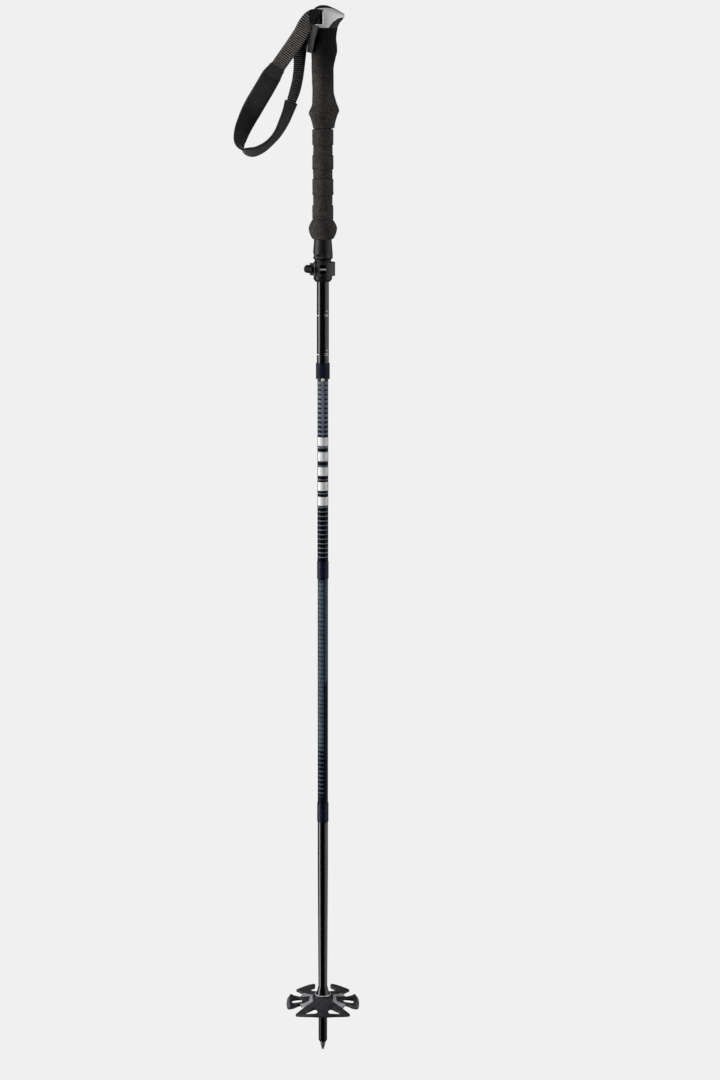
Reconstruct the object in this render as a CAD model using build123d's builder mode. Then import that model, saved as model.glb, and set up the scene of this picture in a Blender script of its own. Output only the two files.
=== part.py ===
from build123d import *

import os
from math import cos, radians, sin

os.makedirs("parts", exist_ok=True)

# Adjustable folding ski pole, in millimetres. The origin is the carbide point, +Z runs up the shaft.
# The snap button faces -Y. The handle is turned on the shaft, so that its beak points HANDLE_YAW
# degrees from +X towards +Y, and the wrist strap hangs out towards -X.

# ---------------------------------------------------------------- driving dimensions
HANDLE_YAW = 35

CAP_TOP = 1345.0
HEAD_BOTTOM = 1318.0  # where the head meets the foam, on the shaft's axis
HEAD_SLOPE = 0.24  # the joint between head and foam rises towards the beak
LIP = 1195.0  # lower end of the upper grip
LOWER_GRIP_BOTTOM = 1058.5
CLAMP_TOP = 1032.5
CLAMP_BOTTOM = 1006.0
COLLAR_TOP = 904.0
COLLAR_BOTTOM = 884.0
FERRULE_2 = (628.0, 640.3, 651.0)  # bottom, split line, top
FERRULE_3 = (308.5, 320.5, 334.0)
CONE_TOP = 85.0
CONE_BOTTOM = 75.5
TIP_TOP = 10.5

TUBE_WALL = 0.6
UPPER_R = 7.55
SECTION_2_R = 6.85
SECTION_3_R = 6.6
LOWER_TOP_R = 6.6
LOWER_END_R = 5.75
SLEEVE_R = 5.6
SEAT_R = 6.1
HANDLE_TUBE_R = 8.6
RUN = 0.08  # radial clearance of a running fit
GAP = 0.35  # clearance between pieces that move past each other

# ---------------------------------------------------------------- frames
TURN = radians(HANDLE_YAW)
BEAK = Vector(cos(TURN), sin(TURN), 0)
SIDE = Vector(-sin(TURN), cos(TURN), 0)
UP = Vector(0, 0, 1)
HANDLE = Plane(origin=(0, 0, 0), x_dir=BEAK, z_dir=UP)
PROFILE = Plane(origin=(0, 0, 0), x_dir=BEAK, z_dir=-SIDE)  # beak to the right, +Z up
FRONT = Plane.XZ  # seen from -Y, where the snap button is


def on_handle(forward, sideways, height):
    """A point from its distances towards the beak, to the beak's left, and up."""
    return BEAK * forward + SIDE * sideways + UP * height


def tube(bottom, top, outer, inner):
    """A plain tube on the shaft's axis."""
    with BuildPart() as made:
        with BuildSketch(Plane.XY.offset(bottom)):
            Circle(outer)
            Circle(inner, mode=Mode.SUBTRACT)
        extrude(amount=top - bottom)
    return made.part


# ---------------------------------------------------------------- head of the handle
# height, reach towards the beak, reach towards the strap, half width
HEAD = [
    (1308.0, 19.5, 12.5, 11.8),
    (1317.0, 21.0, 14.5, 12.2),
    (1325.0, 26.0, 15.8, 12.6),
    (1331.0, 31.0, 15.8, 12.6),
    (1335.5, 32.5, 15.0, 12.0),
    (1339.5, 27.5, 12.0, 10.6),
    (1343.0, 18.0, 6.0, 7.4),
    (1344.4, 11.0, 0.5, 4.2),
]
JOINT_NORMAL = UP - BEAK * HEAD_SLOPE
HEAD_JOINT = Plane(origin=(0, 0, HEAD_BOTTOM), x_dir=BEAK + UP * HEAD_SLOPE, z_dir=JOINT_NORMAL)
# The cap's lower edge, in the profile plane: it climbs from the strap side to the beak's tip.
CAP_EDGE = [
    (-19, 1313.5),
    (-13, 1314),
    (-5, 1316.5),
    (0, 1322),
    (6, 1328),
    (14, 1332.2),
    (25, 1334.5),
    (36, 1335),
]
PAD_EDGE = [(-30, 1340.5), (-8, 1340.5), (8, 1341.6), (24, 1340.2), (40, 1340.2)]
POCKET = (-22.0, 3.0, -16.0, 1.5, 1321.8, 1339.2)  # strap pocket: forward, sideways and height limits
CAP_WALL = -9.8  # the inside of the cap's side wall
MOUTH_FRONT = -7.5
PIN_FORWARD = 0.5
PIN_HEIGHT = 1333.5
PIN_R = 1.3


def head_form():
    """The whole head, before it is divided into cap, pad and core."""
    with BuildPart() as form:
        for height, beak_reach, strap_reach, half_width in HEAD:
            with BuildSketch(HANDLE.offset(height)):
                with Locations(((beak_reach - strap_reach) / 2, 0)):
                    Ellipse((beak_reach + strap_reach) / 2, half_width)
        loft()
        split(bisect_by=HEAD_JOINT, keep=Keep.TOP)
    return form.part


def above(edge, ceiling):
    """A slab that holds everything above an edge drawn in the profile plane."""
    with BuildPart() as slab:
        with BuildSketch(PROFILE):
            with BuildLine():
                Spline(*edge)
                Polyline(edge[-1], (edge[-1][0], ceiling), (edge[0][0], ceiling), edge[0])
            make_face()
        extrude(amount=25, both=True)
    return slab.part


def strap_pocket():
    """The space for the strap in the cap, and its narrower mouth at the back of the cap's side."""
    back, front, right, left, low, high = POCKET
    with BuildPart() as space:
        with BuildSketch(HANDLE.offset(low)):
            with Locations(((back + front) / 2, (CAP_WALL + left) / 2)):
                Rectangle(front - back, left - CAP_WALL)
            with Locations(((back + MOUTH_FRONT) / 2, (right + left) / 2)):
                Rectangle(MOUTH_FRONT - back, left - right)
        extrude(amount=high - low)
    return space.part


def cross_hole(forward, height, radius, start, end):
    """A round bar across the handle, from one side to the other."""
    axis = Plane(origin=on_handle(forward, start, height), x_dir=UP, z_dir=SIDE)
    with BuildPart() as bar:
        with BuildSketch(axis):
            Circle(radius)
        extrude(amount=end - start)
    return bar.part


CEILING = 1360
HEAD_TOP_SLAB = above(PAD_EDGE, CEILING)
CAP_SLAB = above(CAP_EDGE, CEILING)
PIN_START = -10.5
PIN_END = 11.2

with BuildPart() as cap_shell:
    add(head_form())
    add(CAP_SLAB, mode=Mode.INTERSECT)
    add(HEAD_TOP_SLAB, mode=Mode.SUBTRACT)
    add(strap_pocket(), mode=Mode.SUBTRACT)
    add(cross_hole(PIN_FORWARD, PIN_HEIGHT, PIN_R, PIN_START, 20), mode=Mode.SUBTRACT)
cap_shell.part.label = "cap_shell"
export_step(cap_shell.part, "parts/cap_shell.step")

with BuildPart() as cap_top_pad:
    add(head_form())
    add(HEAD_TOP_SLAB, mode=Mode.INTERSECT)
cap_top_pad.part.label = "cap_top_pad"
export_step(cap_top_pad.part, "parts/cap_top_pad.step")

with BuildPart() as head_core:
    add(head_form())
    add(CAP_SLAB, mode=Mode.SUBTRACT)
    add(strap_pocket(), mode=Mode.SUBTRACT)
head_core.part.label = "head_core"
export_step(head_core.part, "parts/head_core.step")

with BuildPart() as strap_pin:
    add(cross_hole(PIN_FORWARD, PIN_HEIGHT, PIN_R, PIN_START, PIN_END))
strap_pin.part.label = "strap_pin"
export_step(strap_pin.part, "parts/strap_pin.step")

# The wedge that grips the strap's ends turns on the pin and fills the front of the pocket.
WEDGE = (-5.0, 2.6, -8.6, 1.2)  # forward and sideways limits
WEDGE_HEIGHT = (1323.0, 1338.0)
with BuildPart() as strap_wedge:
    with BuildSketch(HANDLE.offset(WEDGE_HEIGHT[0])):
        with Locations(((WEDGE[0] + WEDGE[1]) / 2, (WEDGE[2] + WEDGE[3]) / 2)):
            Rectangle(WEDGE[1] - WEDGE[0], WEDGE[3] - WEDGE[2])
    extrude(amount=WEDGE_HEIGHT[1] - WEDGE_HEIGHT[0])
    chamfer(strap_wedge.edges().filter_by(Axis.Z), 1.2)
    add(cross_hole(PIN_FORWARD, PIN_HEIGHT, PIN_R, PIN_START, 20), mode=Mode.SUBTRACT)
strap_wedge.part.label = "strap_wedge"
export_step(strap_wedge.part, "parts/strap_wedge.step")

# ---------------------------------------------------------------- foam grips
# height, reach towards the beak, reach towards the strap, half width
GRIP = [
    (LIP, 14.8, 12.0, 12.5),
    (1202.0, 16.3, 13.7, 13.0),
    (1210.0, 19.5, 16.4, 14.0),
    (1216.0, 22.0, 18.4, 15.5),
    (1225.0, 18.6, 14.2, 13.0),
    (1234.0, 15.8, 13.6, 12.0),
    (1241.0, 14.2, 13.3, 12.0),
    (1257.0, 13.7, 14.0, 12.5),
    (1270.0, 14.0, 14.6, 12.5),
    (1280.0, 17.0, 14.8, 12.3),
    (1288.5, 19.8, 15.0, 12.0),
    (1303.0, 18.4, 12.6, 11.5),
    (1313.0, 20.3, 13.6, 12.0),
    (1326.0, 24.5, 15.0, 12.5),
]
with BuildPart() as upper_grip:
    for height, beak_reach, strap_reach, half_width in GRIP:
        with BuildSketch(HANDLE.offset(height)):
            with Locations(((beak_reach - strap_reach) / 2, 0)):
                Ellipse((beak_reach + strap_reach) / 2, half_width)
    loft()
    split(bisect_by=HEAD_JOINT, keep=Keep.BOTTOM)
    with BuildSketch(Plane.XY.offset(LIP)):
        Circle(HANDLE_TUBE_R)
    extrude(amount=HEAD_BOTTOM - 6 - LIP, mode=Mode.SUBTRACT)
upper_grip.part.label = "upper_grip"
export_step(upper_grip.part, "parts/upper_grip.step")

# The lower grip: wide bands with shallow grooves between them, then a round bulb.
BAND_R = 13.1
GROOVE_R = 12.0
BAND_EDGES = [1194.5, 1174.4, 1162.9, 1144.4, 1134.0, 1113.1, 1101.2, 1083.3]
BULB_R = 17.7
BULB_HEIGHT = 1072.0
with BuildPart() as lower_grip:
    with BuildSketch(FRONT):
        with BuildLine():
            steps = [(BAND_R if i % 2 == 0 else GROOVE_R) for i in range(len(BAND_EDGES) - 1)]
            outline = []
            for top, bottom, radius in zip(BAND_EDGES, BAND_EDGES[1:], steps):
                outline += [(radius, top), (radius, bottom)]
            Polyline(*outline)
            bulb_start = outline[-1]
            bulb_end = (GROOVE_R, LOWER_GRIP_BOTTOM)
            ThreePointArc(bulb_start, (BULB_R, BULB_HEIGHT), bulb_end)
            Polyline(
                bulb_end, (HANDLE_TUBE_R, LOWER_GRIP_BOTTOM), (HANDLE_TUBE_R, BAND_EDGES[0]), outline[0]
            )
        make_face()
    revolve(axis=Axis.Z)
lower_grip.part.label = "lower_grip"
export_step(lower_grip.part, "parts/lower_grip.step")

# ---------------------------------------------------------------- handle tube
HANDLE_TUBE_BOTTOM = CLAMP_TOP + 2
HANDLE_TUBE_TOP = HEAD_BOTTOM - 6
with BuildPart() as handle_tube:
    add(tube(HANDLE_TUBE_BOTTOM, HANDLE_TUBE_TOP, HANDLE_TUBE_R, UPPER_R + RUN))
handle_tube.part.label = "handle_tube"
export_step(handle_tube.part, "parts/handle_tube.step")

PLUG_LENGTH = 14
with BuildPart() as tube_plug:
    with BuildSketch(Plane.XY.offset(HANDLE_TUBE_TOP - PLUG_LENGTH)):
        Circle(UPPER_R + RUN)
    extrude(amount=PLUG_LENGTH)
    chamfer(tube_plug.faces().sort_by(Axis.Z)[0].edges(), 1)
tube_plug.part.label = "tube_plug"
export_step(tube_plug.part, "parts/tube_plug.step")

# ---------------------------------------------------------------- clamp
HOUSING_TOP_R = 10.9
HOUSING_R = 12.4
SCALLOP_HEIGHT = CLAMP_TOP + 6.0
SCALLOP_R = 5.1
SCALLOP_DEPTH = 1.35
SCALLOPS = 5
CLAMP_R = 11.6
BOLT_BACK = -16.5  # how far behind the axis the clamp bolt runs
BOLT_HEIGHT = 1021.9
BOLT_R = 1.7
EAR_HALF = 5.0
EAR_R = 4.4
EAR_HEIGHT = 15.0
SLIT = 1.6
PIVOT = (BOLT_BACK, -8.4)  # the lever's pivot, beside the front ear
BARREL_R = 2.9
LEVER_LOW = 1013.4
LEVER_HIGH = 1030.4
EYE_HALF = 3.2

with BuildPart() as clamp_housing:
    with BuildSketch(FRONT):
        with BuildLine():
            Polyline(
                (UPPER_R + RUN, CLAMP_BOTTOM),
                (9.2, CLAMP_BOTTOM),
                (CLAMP_R, CLAMP_BOTTOM + 3.2),
                (CLAMP_R, CLAMP_TOP - 2.6),
                (10.2, CLAMP_TOP - 0.6),
                (10.2, CLAMP_TOP + 0.6),
                (HOUSING_R, CLAMP_TOP + 3),
                (HOUSING_R, CLAMP_TOP + 7),
                (HOUSING_TOP_R, LOWER_GRIP_BOTTOM),
                (HANDLE_TUBE_R, LOWER_GRIP_BOTTOM),
                (HANDLE_TUBE_R, HANDLE_TUBE_BOTTOM),
                (UPPER_R + RUN, HANDLE_TUBE_BOTTOM),
                close=True,
            )
        make_face()
    revolve(axis=Axis.Z)
    # two ears for the clamp bolt
    with BuildSketch(Plane(origin=on_handle(0, -EAR_HALF, 0), x_dir=BEAK, z_dir=SIDE)):
        with Locations((BOLT_BACK, -BOLT_HEIGHT)):
            Circle(EAR_R)
            with Locations((-BOLT_BACK / 2, 0)):
                Rectangle(-BOLT_BACK, EAR_HEIGHT)
    extrude(amount=2 * EAR_HALF)
    with BuildSketch(Plane.XY.offset(CLAMP_BOTTOM)):
        Circle(UPPER_R + RUN)
    extrude(amount=HANDLE_TUBE_BOTTOM - CLAMP_BOTTOM, mode=Mode.SUBTRACT)
    # the slit that lets the clamp close
    with BuildSketch(HANDLE.offset(CLAMP_BOTTOM - 1)):
        with Locations((-16, 0)):
            Rectangle(20, SLIT)
    extrude(amount=CLAMP_TOP - CLAMP_BOTTOM, mode=Mode.SUBTRACT)
    add(cross_hole(BOLT_BACK, BOLT_HEIGHT, BOLT_R + RUN, -12, 12), mode=Mode.SUBTRACT)
    # thumb scallops around the housing
    with Locations((0, 0, SCALLOP_HEIGHT)):
        with PolarLocations(HOUSING_R + SCALLOP_R - SCALLOP_DEPTH, SCALLOPS, start_angle=39):
            Cylinder(SCALLOP_R, 14, rotation=(90, 0, 0), mode=Mode.SUBTRACT)
clamp_housing.part.label = "clamp_housing"
export_step(clamp_housing.part, "parts/clamp_housing.step")

BOLT_END = 9.0
with BuildPart() as clamp_bolt:
    add(cross_hole(BOLT_BACK, BOLT_HEIGHT, BOLT_R, PIVOT[1], BOLT_END))
    with BuildSketch(HANDLE.offset(BOLT_HEIGHT - EYE_HALF)):
        with Locations(PIVOT):
            Circle(BARREL_R)
    extrude(amount=2 * EYE_HALF)
    with BuildSketch(HANDLE.offset(BOLT_HEIGHT - EYE_HALF)):
        with Locations(PIVOT):
            Circle(PIN_R)
    extrude(amount=2 * EYE_HALF, mode=Mode.SUBTRACT)
clamp_bolt.part.label = "clamp_bolt"
export_step(clamp_bolt.part, "parts/clamp_bolt.step")

with BuildPart() as lever_pin:
    with BuildSketch(HANDLE.offset(LEVER_LOW)):
        with Locations(PIVOT):
            Circle(PIN_R)
    extrude(amount=LEVER_HIGH - LEVER_LOW)
lever_pin.part.label = "lever_pin"
export_step(lever_pin.part, "parts/lever_pin.step")

LEVER_IN = 12.8
LEVER_OUT = 15.3
LEVER_START = 214  # degrees around the shaft, from the beak's side
LEVER_END = 366
WINDOW = (221, 249)
FORK_GAP = EYE_HALF + GAP


def arc_sketch(inner, outer, start, end):
    """A curved strip around the shaft's axis, in the plane of the sketch."""
    with BuildSketch() as strip:
        with BuildLine():
            a = CenterArc((0, 0), inner, start, end - start)
            b = CenterArc((0, 0), outer, start, end - start)
            Line(a @ 0, b @ 0)
            Line(a @ 1, b @ 1)
        make_face()
    return strip.sketch


with BuildPart() as clamp_lever:
    with BuildSketch(HANDLE.offset(LEVER_LOW)):
        add(arc_sketch(LEVER_IN, LEVER_OUT, LEVER_START, LEVER_END))
    extrude(amount=LEVER_HIGH - LEVER_LOW)
    # barrels around the pin, and the web from them to the plate
    with BuildSketch(HANDLE.offset(LEVER_LOW)):
        with Locations(PIVOT):
            Circle(BARREL_R)
        with BuildLine():
            Polyline(
                (PIVOT[0] + 0.5, PIVOT[1] - BARREL_R + 0.1),
                (PIVOT[0] + 6.5, PIVOT[1] - BARREL_R + 0.3),
                (PIVOT[0] + 6.5, PIVOT[1] + 0.4),
                (PIVOT[0], PIVOT[1] + 0.4),
                close=True,
            )
        make_face()
    extrude(amount=LEVER_HIGH - LEVER_LOW)
    # room for the bolt's eye between the barrels
    with BuildSketch(HANDLE.offset(BOLT_HEIGHT - FORK_GAP)):
        with Locations(PIVOT):
            Circle(BARREL_R + GAP)
            with Locations((-2, 4)):
                Rectangle(12, 8)
    extrude(amount=2 * FORK_GAP, mode=Mode.SUBTRACT)
    with BuildSketch(HANDLE.offset(LEVER_LOW)):
        with Locations(PIVOT):
            Circle(PIN_R + RUN)
    extrude(amount=LEVER_HIGH - LEVER_LOW, mode=Mode.SUBTRACT)
    # the window that the tension screw sits in
    with BuildSketch(HANDLE.offset(LEVER_LOW + 3)):
        add(arc_sketch(LEVER_IN - 3, LEVER_OUT + 2, *WINDOW))
    extrude(amount=LEVER_HIGH - LEVER_LOW - 6, mode=Mode.SUBTRACT)
    # a finger slot near the free end
    with BuildSketch(HANDLE.offset(LEVER_LOW + 4.6)):
        add(arc_sketch(LEVER_IN - 3, LEVER_OUT + 2, LEVER_END - 48, LEVER_END - 38))
    extrude(amount=LEVER_HIGH - LEVER_LOW - 9.2, mode=Mode.SUBTRACT)
clamp_lever.part.label = "clamp_lever"
export_step(clamp_lever.part, "parts/clamp_lever.step")

SCREW_ANGLE = radians(sum(WINDOW) / 2)
SCREW_R = 1.25
screw_middle = BEAK * cos(SCREW_ANGLE) + SIDE * sin(SCREW_ANGLE)
screw_along = SIDE * cos(SCREW_ANGLE) - BEAK * sin(SCREW_ANGLE)
SCREW_HALF = 4.0
with BuildPart() as tension_screw:
    start = screw_middle * (LEVER_IN + 1.4) - screw_along * SCREW_HALF + UP * BOLT_HEIGHT
    with BuildSketch(Plane(origin=start, x_dir=UP, z_dir=screw_along)):
        Circle(SCREW_R)
    extrude(amount=2 * SCREW_HALF)
    add(clamp_lever.part, mode=Mode.SUBTRACT)
tension_screw.part.label = "tension_screw"
export_step(tension_screw.part, "parts/tension_screw.step")

# ---------------------------------------------------------------- adjuster
NUT_START = EAR_HALF + GAP
NUT_END = 10.6
NUT_R = 5.1
NUT_TEETH = 18
with BuildPart() as adjuster_nut:
    nut_plane = Plane(origin=on_handle(BOLT_BACK, NUT_START, BOLT_HEIGHT), x_dir=UP, z_dir=SIDE)
    with BuildSketch(nut_plane):
        Circle(NUT_R)
        with PolarLocations(NUT_R + 0.35, NUT_TEETH):
            Circle(0.6, mode=Mode.SUBTRACT)
        Circle(BOLT_R + RUN, mode=Mode.SUBTRACT)
    extrude(amount=NUT_END - NUT_START)
    with BuildSketch(nut_plane.offset(BOLT_END + GAP - NUT_START)):
        Circle(3.6)
    extrude(amount=NUT_END, mode=Mode.SUBTRACT)
adjuster_nut.part.label = "adjuster_nut"
export_step(adjuster_nut.part, "parts/adjuster_nut.step")

with BuildPart() as adjuster_disc:
    with BuildSketch(nut_plane.offset(BOLT_END + GAP - NUT_START)):
        Circle(3.6)
    extrude(amount=NUT_END + 0.3 - BOLT_END - GAP)
adjuster_disc.part.label = "adjuster_disc"
export_step(adjuster_disc.part, "parts/adjuster_disc.step")

# ---------------------------------------------------------------- upper shaft
UPPER_TOP = 1172.0  # inside the handle, so that the pole can be lengthened and shortened
UPPER_IN = UPPER_R - TUBE_WALL
COLLAR_LIP = 2.0  # the shaft ends on a lip inside the collar
with BuildPart() as upper_shaft:
    add(tube(COLLAR_BOTTOM + COLLAR_LIP, UPPER_TOP, UPPER_R, UPPER_IN))
upper_shaft.part.label = "upper_shaft"
export_step(upper_shaft.part, "parts/upper_shaft.step")

with BuildPart() as shaft_guide:
    with BuildSketch(Plane.XY.offset(UPPER_TOP)):
        Circle(UPPER_R)
        Circle(2.5, mode=Mode.SUBTRACT)
    extrude(amount=5)
    with BuildSketch(Plane.XY.offset(UPPER_TOP)):
        Circle(UPPER_IN)
        Circle(2.5, mode=Mode.SUBTRACT)
    extrude(amount=-12)
shaft_guide.part.label = "shaft_guide"
export_step(shaft_guide.part, "parts/shaft_guide.step")

COLLAR_R = 8.7
COLLAR_GROOVES = 20
BUTTON_HEIGHT = COLLAR_BOTTOM - 0.6
BUTTON_R = 2.2
NOTCH_R = 3.0
with BuildPart() as collar:
    with BuildSketch(Plane.XY.offset(COLLAR_BOTTOM)):
        Circle(COLLAR_R)
    extrude(amount=COLLAR_TOP - COLLAR_BOTTOM)
    chamfer(collar.edges().group_by(Axis.Z)[-1], 0.7)
    with BuildSketch(Plane.XY.offset(COLLAR_BOTTOM)):
        Circle(SECTION_2_R + RUN)
    extrude(amount=COLLAR_LIP, mode=Mode.SUBTRACT)
    with BuildSketch(Plane.XY.offset(COLLAR_BOTTOM + COLLAR_LIP)):
        Circle(UPPER_R)
    extrude(amount=COLLAR_TOP - COLLAR_BOTTOM, mode=Mode.SUBTRACT)
    with BuildSketch(Plane.XY.offset(COLLAR_BOTTOM + COLLAR_LIP)):
        with PolarLocations(COLLAR_R + 0.25, COLLAR_GROOVES):
            Circle(0.6)
    extrude(amount=COLLAR_TOP - COLLAR_BOTTOM - 2 * COLLAR_LIP, mode=Mode.SUBTRACT)
    with BuildSketch(FRONT):
        with Locations((0, BUTTON_HEIGHT)):
            Circle(NOTCH_R)
    extrude(amount=COLLAR_R + 3, mode=Mode.SUBTRACT)
collar.part.label = "collar"
export_step(collar.part, "parts/collar.step")

# ---------------------------------------------------------------- section 2, held in the upper shaft
SECTION_2_TOP = 985.0
SECTION_2_IN = SECTION_2_R - TUBE_WALL
with BuildPart() as section_2_tube:
    add(tube(FERRULE_2[1], SECTION_2_TOP, SECTION_2_R, SECTION_2_IN))
    with BuildSketch(FRONT):
        with Locations((0, BUTTON_HEIGHT)):
            Circle(BUTTON_R + RUN)
    extrude(amount=SECTION_2_R + 1, mode=Mode.SUBTRACT)
section_2_tube.part.label = "section_2_tube"
export_step(section_2_tube.part, "parts/section_2_tube.step")

BUTTON_PROUD = 2.0
BUTTON_DOME = SECTION_2_R + BUTTON_PROUD
BUTTON_FOOT = 4.6
with BuildPart() as snap_button:
    with BuildSketch(FRONT.offset(BUTTON_FOOT)):
        with Locations((0, BUTTON_HEIGHT)):
            Circle(BUTTON_R)
    extrude(amount=BUTTON_DOME - BUTTON_FOOT)
    fillet(snap_button.edges().sort_by(Axis.Y)[0], 1.4)
snap_button.part.label = "snap_button"
export_step(snap_button.part, "parts/snap_button.step")

SPRING_WIDTH = 3.4
SPRING_THICK = 0.5
with BuildPart() as button_spring:
    with BuildSketch(Plane.YZ):
        with BuildLine():
            Polyline(
                (-BUTTON_FOOT, BUTTON_HEIGHT - 3),
                (-BUTTON_FOOT, BUTTON_HEIGHT + 14),
                (0, BUTTON_HEIGHT + 26),
                (5.4, BUTTON_HEIGHT + 14),
                (5.4, BUTTON_HEIGHT - 6),
            )
            offset(amount=SPRING_THICK, side=Side.RIGHT)
        make_face()
    extrude(amount=SPRING_WIDTH / 2, both=True)
button_spring.part.label = "button_spring"
export_step(button_spring.part, "parts/button_spring.step")


# ---------------------------------------------------------------- folding joints
FERRULE_R = 7.3
FERRULE_EDGE = 0.4
PIN_LENGTH = 46.0
JOINT_PIN_R = SECTION_2_IN - RUN
CORD_R = 1.4
SPLIT_GAP = 0.1
FERRULES = {
    "ferrule_2_upper": (FERRULE_2[1], FERRULE_2[2], SECTION_2_R),
    "ferrule_2_lower": (FERRULE_2[0], FERRULE_2[1] - SPLIT_GAP, SECTION_3_R),
    "ferrule_3_upper": (FERRULE_3[1], FERRULE_3[2], SECTION_3_R),
    "ferrule_3_lower": (FERRULE_3[0], FERRULE_3[1] - SPLIT_GAP, LOWER_TOP_R),
}
for name, (bottom, top, bore) in FERRULES.items():
    with BuildPart() as ferrule:
        with BuildSketch(Plane.XY.offset(bottom)):
            Circle(FERRULE_R)
        extrude(amount=top - bottom)
        chamfer(ferrule.edges().group_by(Axis.Z)[0], FERRULE_EDGE)
        chamfer(ferrule.edges().group_by(Axis.Z)[-1], FERRULE_EDGE)
        with BuildSketch(Plane.XY.offset(bottom)):
            Circle(bore)
        extrude(amount=top - bottom, mode=Mode.SUBTRACT)
    ferrule.part.label = name
    export_step(ferrule.part, f"parts/{name}.step")

# ---------------------------------------------------------------- joint pins, section 3, lower shaft
GUIDE_BORE = CORD_R + 0.6
with BuildPart() as joint_pin_2:
    with BuildSketch(Plane.XY.offset(FERRULE_2[1] - PIN_LENGTH)):
        Circle(SECTION_3_R - TUBE_WALL)
    extrude(amount=PIN_LENGTH)
    with BuildSketch(Plane.XY.offset(FERRULE_2[1])):
        Circle(JOINT_PIN_R)
    extrude(amount=PIN_LENGTH)
    chamfer(joint_pin_2.faces().sort_by(Axis.Z)[-1].edges(), 2, 1.2)
    with BuildSketch(Plane.XY.offset(FERRULE_2[1] - PIN_LENGTH)):
        Circle(GUIDE_BORE)
    extrude(amount=2 * PIN_LENGTH, mode=Mode.SUBTRACT)
joint_pin_2.part.label = "joint_pin_2"
export_step(joint_pin_2.part, "parts/joint_pin_2.step")

SECTION_3_IN = SECTION_3_R - TUBE_WALL
with BuildPart() as section_3_tube:
    with BuildSketch(Plane.XY.offset(FERRULE_3[1])):
        Circle(SECTION_3_R)
        Circle(SECTION_3_IN, mode=Mode.SUBTRACT)
    extrude(amount=FERRULE_2[1] - SPLIT_GAP - FERRULE_3[1])
section_3_tube.part.label = "section_3_tube"
export_step(section_3_tube.part, "parts/section_3_tube.step")

LOWER_IN = 5.2
with BuildPart() as joint_pin_3:
    with BuildSketch(Plane.XY.offset(FERRULE_3[1] - PIN_LENGTH)):
        Circle(LOWER_IN)
    extrude(amount=PIN_LENGTH)
    with BuildSketch(Plane.XY.offset(FERRULE_3[1])):
        Circle(SECTION_3_IN - RUN)
    extrude(amount=PIN_LENGTH)
    chamfer(joint_pin_3.faces().sort_by(Axis.Z)[-1].edges(), 2, 1.2)
    with BuildSketch(Plane.XY.offset(FERRULE_3[1] - PIN_LENGTH)):
        Circle(GUIDE_BORE)
    extrude(amount=2 * PIN_LENGTH, mode=Mode.SUBTRACT)
joint_pin_3.part.label = "joint_pin_3"
export_step(joint_pin_3.part, "parts/joint_pin_3.step")

# The lower shaft is cylindrical, then tapers; its bore is straight.
TAPER_START = 250.0
TAPER_END = 92.0
LOWER_BOTTOM = 78.0
with BuildPart() as lower_shaft:
    with BuildSketch(FRONT):
        with BuildLine():
            Polyline(
                (LOWER_IN, LOWER_BOTTOM),
                (LOWER_END_R, LOWER_BOTTOM),
                (LOWER_END_R, TAPER_END),
                (LOWER_TOP_R, TAPER_START),
                (LOWER_TOP_R, FERRULE_3[1] - SPLIT_GAP),
                (LOWER_IN, FERRULE_3[1] - SPLIT_GAP),
                close=True,
            )
        make_face()
    revolve(axis=Axis.Z)
lower_shaft.part.label = "lower_shaft"
export_step(lower_shaft.part, "parts/lower_shaft.step")

# ---------------------------------------------------------------- tip
SLEEVE_IN = 4.2
TIP_SEAT = 34.0
SHOULDER = 59.5  # the sleeve is a little thicker above it, where the basket sits
with BuildPart() as tip_sleeve:
    with BuildSketch(FRONT):
        with BuildLine():
            Polyline(
                (0, TIP_TOP),
                (SLEEVE_R - 1.6, TIP_TOP),
                (SLEEVE_R, TIP_TOP + 2.2),
                (SLEEVE_R, SHOULDER),
                (SEAT_R, SHOULDER + 0.5),
                (SEAT_R, LOWER_BOTTOM),
                (LOWER_IN, LOWER_BOTTOM),
                (LOWER_IN, LOWER_BOTTOM + 30),
                (0, LOWER_BOTTOM + 30),
                close=True,
            )
        make_face()
    revolve(axis=Axis.Z)
    with BuildSketch(Plane.XY.offset(TIP_TOP)):
        Circle(SLEEVE_IN - 0.8)
    extrude(amount=TIP_SEAT - TIP_TOP, mode=Mode.SUBTRACT)
tip_sleeve.part.label = "tip_sleeve"
export_step(tip_sleeve.part, "parts/tip_sleeve.step")

TIP_FLUTES = 8
with BuildPart() as carbide_tip:
    with BuildSketch(FRONT):
        with BuildLine():
            Polyline(
                (0, 1.2),
                (1.5, 0),
                (2.1, 3.2),
                (3.9, TIP_TOP - 1.4),
                (3.9, TIP_TOP),
                (SLEEVE_IN - 0.8, TIP_TOP),
                (SLEEVE_IN - 0.8, TIP_SEAT),
                (0, TIP_SEAT),
                close=True,
            )
        make_face()
    revolve(axis=Axis.Z)
    with BuildSketch(Plane.XY):
        with PolarLocations(3.9, TIP_FLUTES):
            Circle(0.9)
    extrude(amount=TIP_TOP - 1.6, mode=Mode.SUBTRACT)
carbide_tip.part.label = "carbide_tip"
export_step(carbide_tip.part, "parts/carbide_tip.step")

CONE_TOP_R = 6.2
CONE_BOTTOM_R = 8.5
with BuildPart() as basket_stop:
    with BuildSketch(FRONT):
        with BuildLine():
            Polyline(
                (LOWER_END_R, LOWER_BOTTOM),
                (LOWER_END_R, CONE_TOP),
                (CONE_TOP_R, CONE_TOP),
                (CONE_BOTTOM_R, CONE_BOTTOM),
                (SEAT_R, CONE_BOTTOM),
                (SEAT_R, LOWER_BOTTOM),
                close=True,
            )
        make_face()
    revolve(axis=Axis.Z)
basket_stop.part.label = "basket_stop"
export_step(basket_stop.part, "parts/basket_stop.step")

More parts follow.
